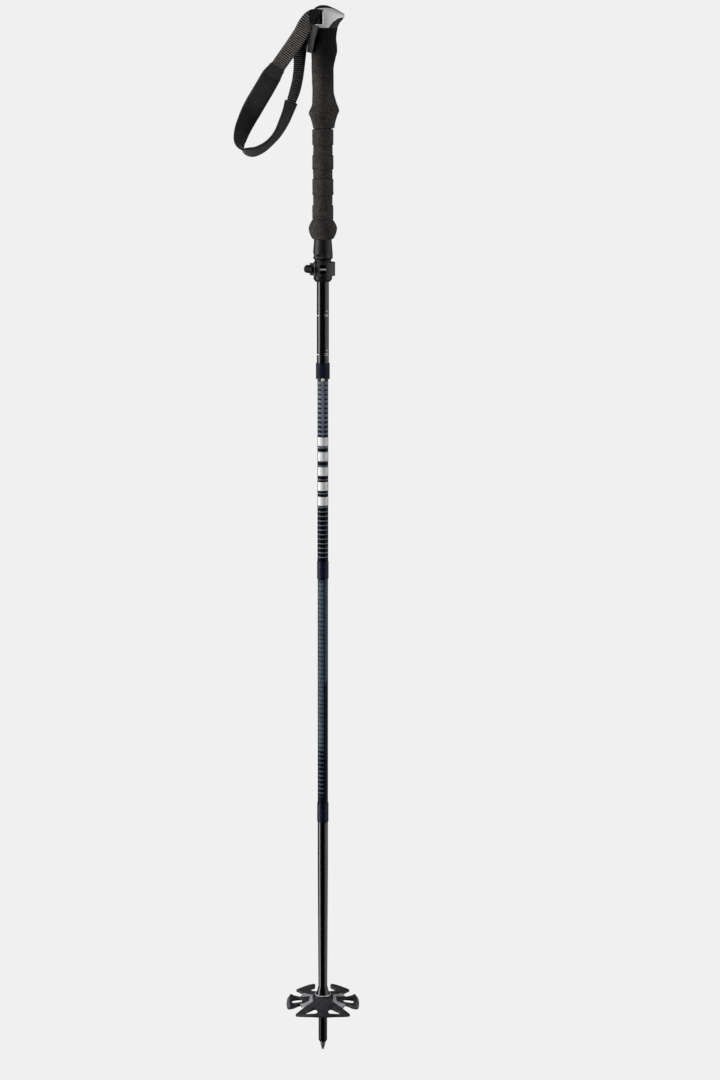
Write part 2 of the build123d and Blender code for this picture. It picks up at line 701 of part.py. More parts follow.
# ---------------------------------------------------------------- powder basket
HUB_TOP = CONE_BOTTOM - GAP
HUB_R = 10.2
HUB_BORE = SEAT_R + RUN
HUB_BOTTOM = 61.0
RING_IN = 8.9
RING_DEPTH = 1.2
PLATE_THICK = 2.6
# the upper surface of the dish: distance from the axis, height
DISH = [(HUB_R, 72.6), (15.0, 70.6), (26.0, 67.6), (40.0, 66.0), (56.0, 67.4)]
NOTCH_HEIGHT = 50.0  # the plan of the lobes is drawn below the dish and extruded through it
INSERT_REACH = 32.0
INSERT_WIDTH = 13.0
# Each lobe in plan, from its root at the hub outwards: half width and distance of its root and of
# its corners, then the reach of its arched edge. Two wide lobes lie at front and back.
WIDE_LOBE = (11.0, 12.0, 35.0, 38.0, 50.0)
SIDE_LOBE = (8.0, 15.0, 24.0, 43.5, 47.0)
WIDE_HOLE = [(7.5, 41), (22.3, 41), (18.7, 34), (9.3, 27)]
SIDE_HOLE = [(-8.5, 41), (8.5, 41), (6.5, 28), (-6.5, 28)]
# the round opening of the back lobe, right half, which breaks through its rim
OPEN_NOTCH = [(10, 53), (10, 42), (15.5, 37.5), (17.3, 32), (14, 27), (7, 25)]


def lobe_plane(turn):
    """A plan plane turned about the shaft, whose local +Y is the middle of a lobe."""
    angle = radians(turn)
    return Plane(origin=(0, 0, NOTCH_HEIGHT), x_dir=(cos(angle), sin(angle), 0), z_dir=(0, 0, 1))


def dish(drop, thickness):
    """The dished disc that the basket's pieces are cut from."""
    upper = [(r, z - drop) for r, z in DISH]
    lower = [(r, z - drop - thickness) for r, z in reversed(DISH)]
    with BuildPart() as disc:
        with BuildSketch(FRONT):
            with BuildLine():
                Polyline(*upper, *lower, close=True)
            make_face()
        revolve(axis=Axis.Z)
    return disc.part


with BuildPart() as basket:
    for turn, lobe in ((0, WIDE_LOBE), (180, WIDE_LOBE), (90, SIDE_LOBE), (270, SIDE_LOBE)):
        root, root_out, corner, corner_out, reach = lobe
        with BuildSketch(lobe_plane(turn)):
            with BuildLine():
                Polyline(
                    (-corner, corner_out), (-root, root_out), (0, 0), (root, root_out), (corner, corner_out)
                )
                ThreePointArc((corner, corner_out), (0, reach), (-corner, corner_out))
            make_face()
            if turn == 0:
                with BuildLine():
                    Polyline(*OPEN_NOTCH, *[(-x, y) for x, y in reversed(OPEN_NOTCH)], close=True)
                make_face(mode=Mode.SUBTRACT)
            elif lobe is WIDE_LOBE:
                with BuildLine():
                    Polyline(*WIDE_HOLE, close=True)
                make_face(mode=Mode.SUBTRACT)
                with BuildLine():
                    Polyline(*[(-x, y) for x, y in WIDE_HOLE], close=True)
                make_face(mode=Mode.SUBTRACT)
            else:
                with BuildLine():
                    Polyline(*SIDE_HOLE, close=True)
                make_face(mode=Mode.SUBTRACT)
    extrude(amount=40)
    add(dish(0, PLATE_THICK), mode=Mode.INTERSECT)
    with BuildSketch(Plane.XY.offset(HUB_BOTTOM)):
        Circle(HUB_R)
    extrude(amount=HUB_TOP - HUB_BOTTOM)
    with BuildSketch(Plane.XY.offset(HUB_BOTTOM)):
        Circle(HUB_BORE)
    extrude(amount=HUB_TOP - HUB_BOTTOM, mode=Mode.SUBTRACT)
    with BuildSketch(Plane.XY.offset(HUB_TOP)):
        Circle(HUB_R)
        Circle(RING_IN, mode=Mode.SUBTRACT)
    extrude(amount=-RING_DEPTH, mode=Mode.SUBTRACT)
basket.part.label = "basket"
export_step(basket.part, "parts/basket.step")

with BuildPart() as basket_insert:
    with BuildSketch(Plane.XY.offset(NOTCH_HEIGHT)):
        for turn in (45, 135):
            Rectangle(2 * INSERT_REACH, INSERT_WIDTH, rotation=turn)
        Circle(HUB_R, mode=Mode.SUBTRACT)
    extrude(amount=40)
    add(dish(PLATE_THICK, 1.8), mode=Mode.INTERSECT)
basket_insert.part.label = "basket_insert"
export_step(basket_insert.part, "parts/basket_insert.step")

with BuildPart() as hub_ring:
    with BuildSketch(Plane.XY.offset(HUB_TOP - RING_DEPTH)):
        Circle(HUB_R)
        Circle(RING_IN, mode=Mode.SUBTRACT)
    extrude(amount=RING_DEPTH + 0.9)
    fillet(hub_ring.edges().group_by(Axis.Z)[-1], 0.4)
hub_ring.part.label = "hub_ring"
export_step(hub_ring.part, "parts/hub_ring.step")

# ---------------------------------------------------------------- tension cord, its spring and ends
SEAT_BOTTOM = 700.0
SEAT_TOP = 706.0
STOP_BOTTOM = 826.0
STOP_TOP = 833.0
ANCHOR_BOTTOM = 236.0
ANCHOR_TOP = 248.0
SPRING_R = 4.4
SPRING_WIRE = 0.6
SPRING_TURNS = 14

with BuildPart() as spring_seat:
    with BuildSketch(Plane.XY.offset(SEAT_BOTTOM)):
        Circle(SECTION_2_IN)
        Circle(GUIDE_BORE, mode=Mode.SUBTRACT)
    extrude(amount=SEAT_TOP - SEAT_BOTTOM)
spring_seat.part.label = "spring_seat"
export_step(spring_seat.part, "parts/spring_seat.step")

with BuildPart() as cord_stop:
    with BuildSketch(Plane.XY.offset(STOP_BOTTOM)):
        Circle(SECTION_2_IN - 2 * GAP)
        Circle(CORD_R, mode=Mode.SUBTRACT)
    extrude(amount=STOP_TOP - STOP_BOTTOM)
    chamfer(cord_stop.faces().sort_by(Axis.Z)[-1].edges().sort_by(SortBy.LENGTH)[-1], 1)
cord_stop.part.label = "cord_stop"
export_step(cord_stop.part, "parts/cord_stop.step")

with BuildPart() as cord_anchor:
    with BuildSketch(Plane.XY.offset(ANCHOR_BOTTOM)):
        Circle(LOWER_IN)
        Circle(CORD_R, mode=Mode.SUBTRACT)
    extrude(amount=ANCHOR_TOP - ANCHOR_BOTTOM)
cord_anchor.part.label = "cord_anchor"
export_step(cord_anchor.part, "parts/cord_anchor.step")

with BuildPart() as tension_cord:
    with BuildSketch(Plane.XY.offset(ANCHOR_BOTTOM - 3)):
        Circle(CORD_R)
    extrude(amount=STOP_TOP - ANCHOR_BOTTOM + 6)
tension_cord.part.label = "tension_cord"
export_step(tension_cord.part, "parts/tension_cord.step")

with BuildPart() as tension_spring:
    spring_length = STOP_BOTTOM - SEAT_TOP - 2 * SPRING_WIRE - 2 * RUN
    spring_start = (0, 0, SEAT_TOP + SPRING_WIRE + RUN)
    with BuildLine() as coil_line:
        Helix(spring_length / SPRING_TURNS, spring_length, SPRING_R, center=spring_start)
    with BuildSketch(Plane(origin=coil_line.line @ 0, z_dir=coil_line.line % 0)):
        Circle(SPRING_WIRE)
    sweep()
tension_spring.part.label = "tension_spring"
export_step(tension_spring.part, "parts/tension_spring.step")

with BuildPart() as inner_guide:
    with BuildSketch(Plane.XY.offset(SECTION_2_TOP)):
        Circle(UPPER_IN)
    extrude(amount=4)
    with BuildSketch(Plane.XY.offset(SECTION_2_TOP)):
        Circle(SECTION_2_IN)
    extrude(amount=-12)
inner_guide.part.label = "inner_guide"
export_step(inner_guide.part, "parts/inner_guide.step")

# ---------------------------------------------------------------- wrist strap
# The strap is a ribbon. Each station gives its middle and the direction across it, from the edge
# nearer the front to the edge farther back; the ribbon's width is held and it twists between them.
WEBBING_WIDTH = 18.5
WEBBING_THICK = 1.8
PAD_WIDTH = 25.0
PAD_THICK = 3.4
# from the cap down to the seam, round the padded band, and back up to the cap
UPPER_LEG = [
    ((-3.0, -11.6, 1330.5), (0.0, 4, -16)),
    ((-14.0, -12.4, 1330.0), (5.5, 4, -16)),
    ((-20.5, -12.0, 1323.0), (13, 4, -11)),
    ((-26.5, -10.5, 1311.8), (16, 1, -9)),
    ((-35.8, -9.2, 1297.7), (17, 1, -8.5)),
    ((-46.0, -7.4, 1283.5), (17, 2, -8)),
]
PAD = [
    ((-55.0, -5.0, 1271.0), (17, 4, -7.5)),
    ((-62.5, -3.6, 1260.2), (20, 6, -9)),
    ((-73.0, -1.5, 1242.5), (22, 3, -10)),
    ((-84.0, 0.5, 1224.3), (22, 3, -10)),
    ((-93.3, 1.5, 1206.7), (19, 11, -11)),
    ((-100.0, 1.5, 1191.2), (16, 16, -10)),
    ((-102.4, 0.8, 1178.0), (12, 20, -8)),
    ((-98.5, 0.2, 1169.0), (6, 23, -8)),
    ((-87.5, 0.0, 1166.3), (0, 22, -11)),
    ((-75.8, 0.2, 1170.3), (2, 22.7, -10)),
    ((-64.6, 0.6, 1178.8), (5, 23.5, -6)),
    ((-55.3, 1.2, 1189.8), (7, 23, -5)),
    ((-47.9, 1.6, 1203.8), (11, 22, -4)),
    ((-42.3, 1.6, 1217.5), (13, 21, -2)),
    ((-38.9, 1.5, 1228.0), (13, 16, -1)),
]
LOWER_LEG = [
    ((-34.6, 2.0, 1240.5), (13, 12.5, 0.5)),
    ((-31.0, 2.0, 1256.0), (13, 12.5, 2)),
    ((-29.0, 1.0, 1272.7), (13, 11, 2.4)),
    ((-28.0, -1.5, 1290.0), (14, 7, 4)),
    ((-26.5, -4.4, 1304.0), (15, 3, 5)),
    ((-22.5, -7.2, 1316.0), (13, 2, -6)),
    ((-15.5, -9.4, 1326.0), (5, 3, -15)),
    ((-5.0, -9.4, 1330.5), (0, 4, -16)),
]
TAIL = [
    ((-9.6, -12.6, 1321.0), (9, -6, -1)),
    ((-13.2, -10.2, 1306.7), (8.6, -9, 2)),
    ((-16.6, -8.6, 1287.5), (6.5, -10, 6)),
]
TAIL_WIDTH = 13.0


def ribbon_planes(stations):
    """A plane across the ribbon at each station, with its local X across the ribbon."""
    middles = [Vector(*middle) for middle, across in stations]
    planes = []
    for i, (middle, across) in enumerate(stations):
        ahead = middles[min(i + 1, len(middles) - 1)] - middles[max(i - 1, 0)]
        side = Vector(*across).normalized()
        along = ahead - side * ahead.dot(side)
        planes.append(Plane(origin=middles[i], x_dir=side, z_dir=along.normalized()))
    return planes


STRAP = ribbon_planes(UPPER_LEG + PAD + LOWER_LEG)
SEAM = len(UPPER_LEG)  # the station where the webbing is sewn to the padded band
PAD_END = SEAM + len(PAD) - 1
# each ribbon: its planes, width and thickness, and the pieces that it is trimmed against
RIBBONS = {
    "strap_upper_leg": (STRAP[: SEAM + 1], WEBBING_WIDTH, WEBBING_THICK, [cap_shell]),
    "strap_pad": (STRAP[SEAM : PAD_END + 1], PAD_WIDTH, PAD_THICK, []),
    "strap_lower_leg": (STRAP[PAD_END:], WEBBING_WIDTH, WEBBING_THICK, [cap_shell]),
    "strap_tail": (ribbon_planes(TAIL), TAIL_WIDTH, WEBBING_THICK, [cap_shell]),
}
webbing = []
for name, (planes, width, thickness, neighbours) in RIBBONS.items():
    with BuildPart() as ribbon:
        for plane in planes:
            with BuildSketch(plane):
                Rectangle(width, thickness)
        loft(ruled=True)
        for neighbour in neighbours + webbing:
            add(neighbour.part, mode=Mode.SUBTRACT)
    webbing.append(ribbon)
    with BuildPart() as trimmed:
        add(ribbon.solids().sort_by(SortBy.VOLUME)[-1])
    trimmed.part.label = name
    export_step(trimmed.part, f"parts/{name}.step")
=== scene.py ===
from math import cos, hypot, pi, radians, sin

import bmesh
import bpy
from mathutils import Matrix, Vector, geometry, kdtree, noise


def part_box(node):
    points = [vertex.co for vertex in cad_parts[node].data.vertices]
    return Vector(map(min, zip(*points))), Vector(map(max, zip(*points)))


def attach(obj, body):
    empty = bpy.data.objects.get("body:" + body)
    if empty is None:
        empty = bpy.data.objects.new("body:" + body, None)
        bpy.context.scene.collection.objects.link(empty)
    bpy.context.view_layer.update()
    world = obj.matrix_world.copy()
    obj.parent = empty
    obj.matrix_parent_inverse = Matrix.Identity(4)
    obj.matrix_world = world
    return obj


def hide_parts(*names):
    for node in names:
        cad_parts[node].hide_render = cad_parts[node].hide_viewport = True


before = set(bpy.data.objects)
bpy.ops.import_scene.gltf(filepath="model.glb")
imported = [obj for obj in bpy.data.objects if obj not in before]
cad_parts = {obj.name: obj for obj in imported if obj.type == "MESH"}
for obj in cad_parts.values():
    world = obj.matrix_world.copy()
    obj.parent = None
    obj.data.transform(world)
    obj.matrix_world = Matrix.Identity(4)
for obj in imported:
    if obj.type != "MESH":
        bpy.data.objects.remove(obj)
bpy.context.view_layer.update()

# The looks of an adjustable folding ski pole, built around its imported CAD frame. Lengths are in
# millimetres until a mesh is made, where MM turns them into Blender's metres. The frame is the
# CAD's: the origin is the carbide point, +Z runs up the shaft, and -Y faces the camera.
MM = 0.001
UP = Vector((0, 0, 1))
SCENE = bpy.context.scene
HANDLE_YAW = radians(35)
BEAK = Vector((cos(HANDLE_YAW), sin(HANDLE_YAW), 0))
SIDE = Vector((-sin(HANDLE_YAW), cos(HANDLE_YAW), 0))


def low(node, axis=2):
    """A CAD node's lowest place along an axis, in mm."""
    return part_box(node)[0][axis] / MM


def high(node, axis=2):
    """A CAD node's highest place along an axis, in mm."""
    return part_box(node)[1][axis] / MM


def add(name, data):
    """A new object in the scene."""
    made = bpy.data.objects.new(name, data)
    SCENE.collection.objects.link(made)
    return made


def shade(mesh, angle):
    """Smooth shading, except at edges sharper than an angle in degrees."""
    mesh.polygons.foreach_set("use_smooth", [True] * len(mesh.polygons))
    mesh.set_sharp_from_angle(angle=radians(angle))


# ---- colours and material nodes
def srgb(red, green, blue):
    """A shader's linear colour from 0 to 255 screen values."""

    def linear(value):
        share = value / 255
        return share / 12.92 if share <= 0.04045 else ((share + 0.055) / 1.055) ** 2.4

    return (linear(red), linear(green), linear(blue), 1)


class Shader:
    """A material with short calls for its nodes. Patterns are in mm."""

    def __init__(self, name, shine=0.5, **sockets):
        self.material = bpy.data.materials.new(name)
        self.material.use_nodes = True
        self.tree = self.material.node_tree
        self.surface = self.tree.nodes["Principled BSDF"]
        self.set("Specular IOR Level", shine)
        for socket, value in sockets.items():
            self.set(socket.replace("_", " "), value)

    def set(self, socket, value):
        """Sets or links one socket of the surface shader."""
        self.feed(self.surface.inputs[socket], value)

    def feed(self, socket, value):
        """Links a node's output to a socket, or sets the socket's value."""
        if isinstance(value, bpy.types.NodeSocket):
            self.tree.links.new(value, socket)
        else:
            socket.default_value = value

    def node(self, kind, *values, output=0, **settings):
        """Adds a node, fills its first inputs and returns one of its outputs."""
        made = self.tree.nodes.new("ShaderNode" + kind)
        for key, value in settings.items():
            setattr(made, key, value)
        for socket, value in zip(made.inputs, values):
            self.feed(socket, value)
        return made.outputs[output]

    def math(self, operation, *values):
        """A Math node."""
        return self.node("Math", *values, operation=operation)

    def place(self, stretch=(1, 1, 1)):
        """The shaded point in mm, stretched along each axis."""
        where = self.node("TexCoord", output="Object")
        scale = tuple(x / MM for x in stretch)
        return self.node("VectorMath", where, scale, operation="MULTIPLY")

    def axes(self):
        """The shaded point's X, Y and Z in mm."""
        return self.node("SeparateXYZ", self.place()).node.outputs

    def angle(self):
        """Degrees round the shaft, -90 at the left to 90 at the right, on both faces."""
        x, y, _ = self.axes()
        turn = self.math("ARCTAN2", x, self.math("ABSOLUTE", y))
        return self.math("MULTIPLY", turn, 180 / pi)

    def noise(self, size, detail=3, roughness=0.55, stretch=(1, 1, 1)):
        """Soft noise with lumps of about size mm."""
        return self.node("TexNoise", self.place(stretch), 0, 1 / size, detail, roughness)

    def cells(self, size):
        """Distance to the nearest of many points about size mm apart."""
        return self.node("TexVoronoi", self.place(), 0, 1 / size)

    def spread(self, value, start, end, first=0, last=1):
        """Maps start..end to first..last and holds it outside."""
        return self.node("MapRange", value, start, end, first, last)

    def mix(self, share, first, last):
        """Mixes two colours, each a node's output or screen values."""
        made = self.node("Mix", share, data_type="RGBA").node
        for place, colour in ((6, first), (7, last)):
            screen = isinstance(colour, tuple) and len(colour) == 3
            self.feed(made.inputs[place], srgb(*colour) if screen else colour)
        return made.outputs[2]

    def tint(self, pattern, dark, light, start=0.3, end=0.7):
        """Two colours mixed by a pattern."""
        return self.mix(self.spread(pattern, start, end), dark, light)

    def colour(self, pattern, dark, light, start=0.3, end=0.7):
        """Sets the base colour from a pattern."""
        self.set("Base Color", self.tint(pattern, dark, light, start, end))

    def dull(self, pattern, least, most):
        """Sets the roughness from a pattern."""
        self.set("Roughness", self.spread(pattern, 0.3, 0.7, least, most))

    def within(self, value, start, end, soft=0.4):
        """1 between start and end, 0 outside, with a soft edge."""
        rise = self.spread(value, start - soft, start + soft)
        fall = self.spread(value, end - soft, end + soft, 1, 0)
        return self.math("MULTIPLY", rise, fall)

    def lines(self, value, start, period, share, soft=0.05):
        """1 on evenly spaced lines, which take a share of each period."""
        steps = self.math("DIVIDE", self.math("SUBTRACT", value, start), period)
        middle = self.math("ABSOLUTE", self.math("SUBTRACT", self.math("FRACT", steps), 0.5))
        half = self.math("MULTIPLY", share, 0.5)
        return self.spread(middle, self.math("SUBTRACT", half, soft), self.math("ADD", half, soft), 1, 0)

    def bump(self, height, distance, strength=1):
        """Adds relief, distance mm deep."""
        made = self.node("Bump", strength, distance * MM).node
        self.feed(made.inputs["Height"], height)
        before = self.surface.inputs["Normal"].links
        if before:
            self.feed(made.inputs["Normal"], before[0].from_socket)
        self.set("Normal", made.outputs["Normal"])

    def soft_edges(self, radius):
        """Rounds hard edges in the shading only."""
        self.set("Normal", self.node("Bevel", radius * MM, samples=4))


# ---- materials
def moulded(name, dark, light, roughness, edge=0.3, shine=0.35):
    """Moulded plastic: slight colour drift and a fine grain."""
    made = Shader(name, shine)
    made.soft_edges(edge)
    made.colour(made.noise(9), dark, light, 0.35)
    made.dull(made.noise(3), roughness - 0.07, roughness + 0.08)
    made.bump(made.noise(0.35, 2), 0.05, 0.5)
    return made.material


def metal(name, colour, roughness, brushed=(1, 1, 1), metallic=1):
    """Metal with fine drawing marks."""
    made = Shader(name, Metallic=metallic)
    marks = made.noise(1.2, 4, 0.7, brushed)
    linear = srgb(*colour)
    made.colour(marks, tuple(0.72 * c for c in linear[:3]) + (1,), linear)
    made.dull(marks, roughness - 0.06, roughness + 0.1)
    made.bump(marks, 0.02, 0.4)
    return made.material


def silver_cap():
    """The cap's satin silver coating, with a fine sparkle."""
    made = Shader("cap_silver", Metallic=0.1, shine=0.5)
    base = made.tint(made.noise(14, 4), (236, 236, 237), (248, 248, 249), end=0.72)
    sparkle = made.spread(made.cells(0.35), 0.02, 0.3, 1, 0)
    made.set("Base Color", made.mix(made.math("MULTIPLY", sparkle, 0.25), base, (252, 252, 252)))
    made.dull(made.noise(2), 0.34, 0.46)
    made.bump(made.noise(0.5, 2), 0.03, 0.35)
    return made.material


def rubber(name, dark, light):
    """Matt rubber with a fine leathery grain."""
    made = Shader(name, shine=0.3)
    made.soft_edges(0.4)
    made.colour(made.noise(5, 5), dark, light, 0.35)
    made.dull(made.noise(1.5), 0.52, 0.66)
    made.bump(made.cells(0.6), 0.06, 0.6)
    return made.material


def foam():
    """EVA foam: open pores, a dusty bloom, and painted shade that darkens the upper grip towards its top.
    """
    made = Shader("eva_foam", shine=0.12)
    pores = made.spread(made.cells(0.8), 0.05, 0.45)
    coarse = made.noise(9, 5, 0.6)
    speck = made.noise(0.9, 3, 0.7)
    x, _, z = made.axes()
    # painted shade: the upper grip is mixed towards near black higher up
    painted_shade = made.math("ADD", z, made.math("MULTIPLY", x, 1.6))
    painted_shade = made.math("MULTIPLY", made.spread(painted_shade, 1238, 1292), made.within(z, 1225, 1330, 6))
    base = made.tint(coarse, (34, 33, 34), (62, 60, 59), 0.34)
    dusty = made.mix(made.spread(speck, 0.5, 0.74, 0, 0.85), base, (136, 129, 122))
    with_painted_shade = made.mix(made.math("MULTIPLY", painted_shade, 0.86), dusty, (7, 7, 7))
    made.set("Base Color", made.mix(made.spread(pores, 0, 0.6, 0.8, 0), with_painted_shade, (8, 8, 8)))
    made.dull(coarse, 0.72, 0.9)
    made.bump(made.noise(3, 4), 0.5, 0.6)
    made.bump(pores, 0.25, 0.9)
    made.bump(speck, 0.3, 0.8)
    return made.material


def gloss_black():
    """Glossy black anodising with faint lengthwise wiping marks."""
    made = Shader("gloss_black_tube", Coat_Weight=0.3, Coat_Roughness=0.12, shine=0.45)
    drift = made.noise(30, 3, 0.5, (1, 1, 0.15))
    made.colour(drift, (5, 5, 6), (13, 13, 15))
    made.dull(made.noise(2, 3, 0.6, (1, 1, 0.05)), 0.2, 0.26)
    made.bump(made.noise(40, 1, 0.5), 0.002, 0.2)
    return made.material


def webbing(name, dark, light, stray):
    """Woven yarn with stray lighter fibres."""
    made = Shader(name, shine=0.25)
    yarn = made.noise(0.9, 3, 0.65)
    fuzz = made.noise(0.35, 2, 0.7)
    base = made.tint(yarn, dark, light, end=0.72)
    made.set("Base Color", made.mix(made.spread(fuzz, 0.5, 0.78, 0, 0.5), base, stray))
    made.dull(yarn, 0.42, 0.62)
    made.bump(yarn, 0.15, 0.7)
    made.bump(fuzz, 0.08, 0.6)
    return made.material


def felt():
    """The brushed lining of the padded strap."""
    made = Shader("strap_felt", shine=0.15, Sheen_Weight=0.35, Sheen_Roughness=0.55)
    nap = made.noise(0.7, 4, 0.75)
    patches = made.noise(6, 4, 0.6)
    base = made.tint(patches, (22, 22, 24), (44, 43, 45), end=0.72)
    made.set("Base Color", made.mix(made.spread(nap, 0.5, 0.8, 0, 0.6), base, (84, 82, 82)))
    made.dull(nap, 0.85, 1)
    made.bump(nap, 0.3, 0.8)
    made.bump(patches, 0.4, 0.4)
    return made.material


def lacquer(name):
    """The satin lacquer of a printed shaft section, without its colours."""
    made = Shader(name, shine=0.07)
    made.dull(made.noise(1.2, 3), 0.36, 0.46)
    made.bump(made.noise(2, 2, 0.5, (1, 1, 0.1)), 0.004, 0.3)
    return made


def section_2_print(top, bottom):
    """Slate with pairs of navy dashes that grow downwards to thin slate rings on black."""
    made = lacquer("section_2_lacquer")
    z = made.axes()[2]
    turn = made.angle()
    slate = made.tint(made.noise(8), (96, 104, 119), (116, 125, 141))
    # a lighter band down the middle of the front and back faces is a painted highlight
    slate = made.mix(made.within(turn, -4, 4, 3), slate, (132, 141, 156))
    deep = made.spread(z, top - 114, top - 8, 1, 0)
    share = made.spread(deep, 0, 1, 0.3, 0.76)
    dashes = made.lines(z, bottom, 5.85, share, 0.03)
    reach = made.spread(deep, 0.35, 0.75, 0, 1)
    pairs = made.math("ADD", made.within(turn, -70, -16, 2), made.within(turn, 17, 64, 2))
    covered = made.math("MAXIMUM", pairs, reach)
    navy = made.mix(reach, (11, 15, 24), (5, 6, 9))
    ink = made.math("MULTIPLY", dashes, covered)
    ink = made.math("MAXIMUM", ink, made.within(z, bottom - 1, bottom + 2.7, 0.3))
    made.set("Base Color", made.mix(ink, slate, navy))
    return made.material


def section_3_print(top, bottom):
    """Slate blocks on the left and a smooth slate panel on the right, on navy."""
    made = lacquer("section_3_lacquer")
    x, _, z = made.axes()
    across = made.math("DIVIDE", x, 6.6)
    tone = made.noise(7)
    navy = made.tint(tone, (4, 8, 17), (13, 19, 31))
    light = made.tint(tone, (66, 79, 93), (90, 103, 118))
    fine = made.spread(z, bottom + 64, bottom + 79, 0.3, 0.82)
    blocks = made.lines(z, bottom, 5.7, fine, 0.04)
    left = made.math("MULTIPLY", blocks, made.within(across, -0.9, 0.17, 0.04))
    left = made.math("MULTIPLY", left, made.within(z, bottom + 9, top - 1, 0.4))
    slant = made.math("ADD", z, made.math("MULTIPLY", across, -14))
    right = made.within(across, 0.34, 0.95, 0.04)
    right = made.math("MULTIPLY", right, made.within(slant, 486, top - 1))
    panel = made.tint(tone, (58, 71, 85), (72, 86, 101))
    made.set("Base Color", made.mix(right, made.mix(left, navy, light), panel))
    return made.material


def carbide():
    """Sintered carbide: grey-green, ground, slightly pitted."""
    made = Shader("tip_carbide", Metallic=0.9)
    marks = made.noise(0.6, 4, 0.7)
    made.colour(marks, (104, 110, 102), (168, 174, 164))
    made.dull(marks, 0.32, 0.5)
    made.bump(marks, 0.05, 0.6)
    return made.material


def braid():
    """The braided tension cord."""
    made = Shader("cord_braid", shine=0.3)
    weave = made.lines(made.axes()[2], 0, 1.1, 0.5, 0.2)
    made.set("Base Color", made.mix(weave, (38, 38, 40), (86, 86, 90)))
    made.dull(made.noise(0.4), 0.6, 0.8)
    made.bump(weave, 0.1, 0.7)
    return made.material


def paint(name, dark, light, roughness):
    """Printed ink, or waxed thread."""
    made = Shader(name, shine=0.4)
    made.colour(made.noise(1), dark, light)
    made.dull(made.noise(0.6), roughness, roughness + 0.12)
    return made.material


def sewn_edge(name, dark, light):
    """Woven binding or knitted cover, with a fine texture."""
    made = Shader(name, shine=0.35, Sheen_Weight=0.2, Sheen_Roughness=0.4)
    weave = made.noise(0.5, 3, 0.6, (1, 1, 1.7))
    made.colour(weave, dark, light, end=0.72)
    made.dull(made.noise(2), 0.6, 0.8)
    made.bump(weave, 0.1, 0.6)
    return made.material


# ---- finishes of the CAD nodes
BLACK_PLASTIC = moulded("black_plastic", (14, 14, 15), (26, 26, 28), 0.45)
DARK_GREY = moulded("lever_plastic", (38, 38, 40), (56, 56, 59), 0.42)
NAVY = moulded("navy_plastic", (9, 15, 32), (22, 30, 52), 0.4, shine=0.16)
HEAD_RUBBER = rubber("head_rubber", (20, 20, 21), (40, 39, 39))
STEEL = metal("steel", (190, 190, 192), 0.25)
OXIDE = metal("black_oxide_steel", (40, 40, 42), 0.45)
SCREW = metal("bright_screw", (252, 252, 252), 0.45, metallic=0.1)
BUTTON = metal("button_metal", (248, 238, 214), 0.4, metallic=0.25)
INNER_TUBE = metal("dark_anodised", (70, 74, 80), 0.35, (1, 1, 0.1))
GLOSS = gloss_black()
CAP_SILVER = silver_cap()
# pale as a painted highlight on the basket hub's rim
HUB_RIM_HIGHLIGHT = moulded("hub_rim_painted_highlight", (214, 216, 219), (232, 234, 237), 0.4)
TIP_PLASTIC = moulded("tip_plastic", (4, 4, 5), (10, 10, 11), 0.3, shine=0.18)
FINISHES = [
    (BLACK_PLASTIC, ["strap_wedge", "tube_plug", "clamp_housing", "adjuster_nut", "shaft_guide"]),
    (BLACK_PLASTIC, ["spring_seat", "inner_guide"]),
    (DARK_GREY, ["clamp_lever"]),
    (NAVY, ["collar", "ferrule_2_upper", "ferrule_2_lower", "ferrule_3_upper", "ferrule_3_lower"]),
    (STEEL, ["strap_pin", "button_spring", "tension_spring", "cord_stop", "cord_anchor"]),
    (OXIDE, ["clamp_bolt", "lever_pin", "adjuster_disc"]),
    (SCREW, ["tension_screw"]),
    (BUTTON, ["snap_button"]),
    (INNER_TUBE, ["joint_pin_2", "joint_pin_3"]),
    (GLOSS, ["handle_tube", "upper_shaft", "lower_shaft", "basket_stop"]),
    (TIP_PLASTIC, ["tip_sleeve"]),
    (carbide(), ["carbide_tip"]),
    (braid(), ["tension_cord"]),
    (section_2_print(low("collar"), high("ferrule_2_upper")), ["section_2_tube"]),
    (section_3_print(low("ferrule_2_lower"), high("ferrule_3_upper")), ["section_3_tube"]),
]
for material, nodes in FINISHES:
    for node in nodes:
        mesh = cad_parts[node].data
        mesh.materials.clear()
        mesh.materials.append(material)
        shade(mesh, 32)


# ---- mesh helpers
def piece_from(name, points, faces, materials, body, slot, smooth=32):
    """A mesh piece from points in mm. smooth is the angle that still shades as round."""
    mesh = bpy.data.meshes.new(name)
    mesh.from_pydata([Vector(point) * MM for point in points], [], faces)
    for material in materials:
        mesh.materials.append(material)
    outward = bmesh.new()
    outward.from_mesh(mesh)
    bmesh.ops.recalc_face_normals(outward, faces=outward.faces)
    outward.to_mesh(mesh)
    outward.free()
    shade(mesh, smooth)
    made = add(name, mesh)
    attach(made, body)
    return made


def skin(loops, closed_ends=True):
    """Points and faces of a tube through closed loops of equally many points."""
    count = len(loops[0])
    points = [point for loop in loops for point in loop]
    faces = []
    for row in range(len(loops) - 1):
        for i in range(count):
            j = (i + 1) % count
            first, second = row * count, (row + 1) * count
            faces.append((first + i, first + j, second + j, second + i))
    if closed_ends:
        faces.append(tuple(range(count - 1, -1, -1)))
        faces.append(tuple(range((len(loops) - 1) * count, len(loops) * count)))
    return points, faces


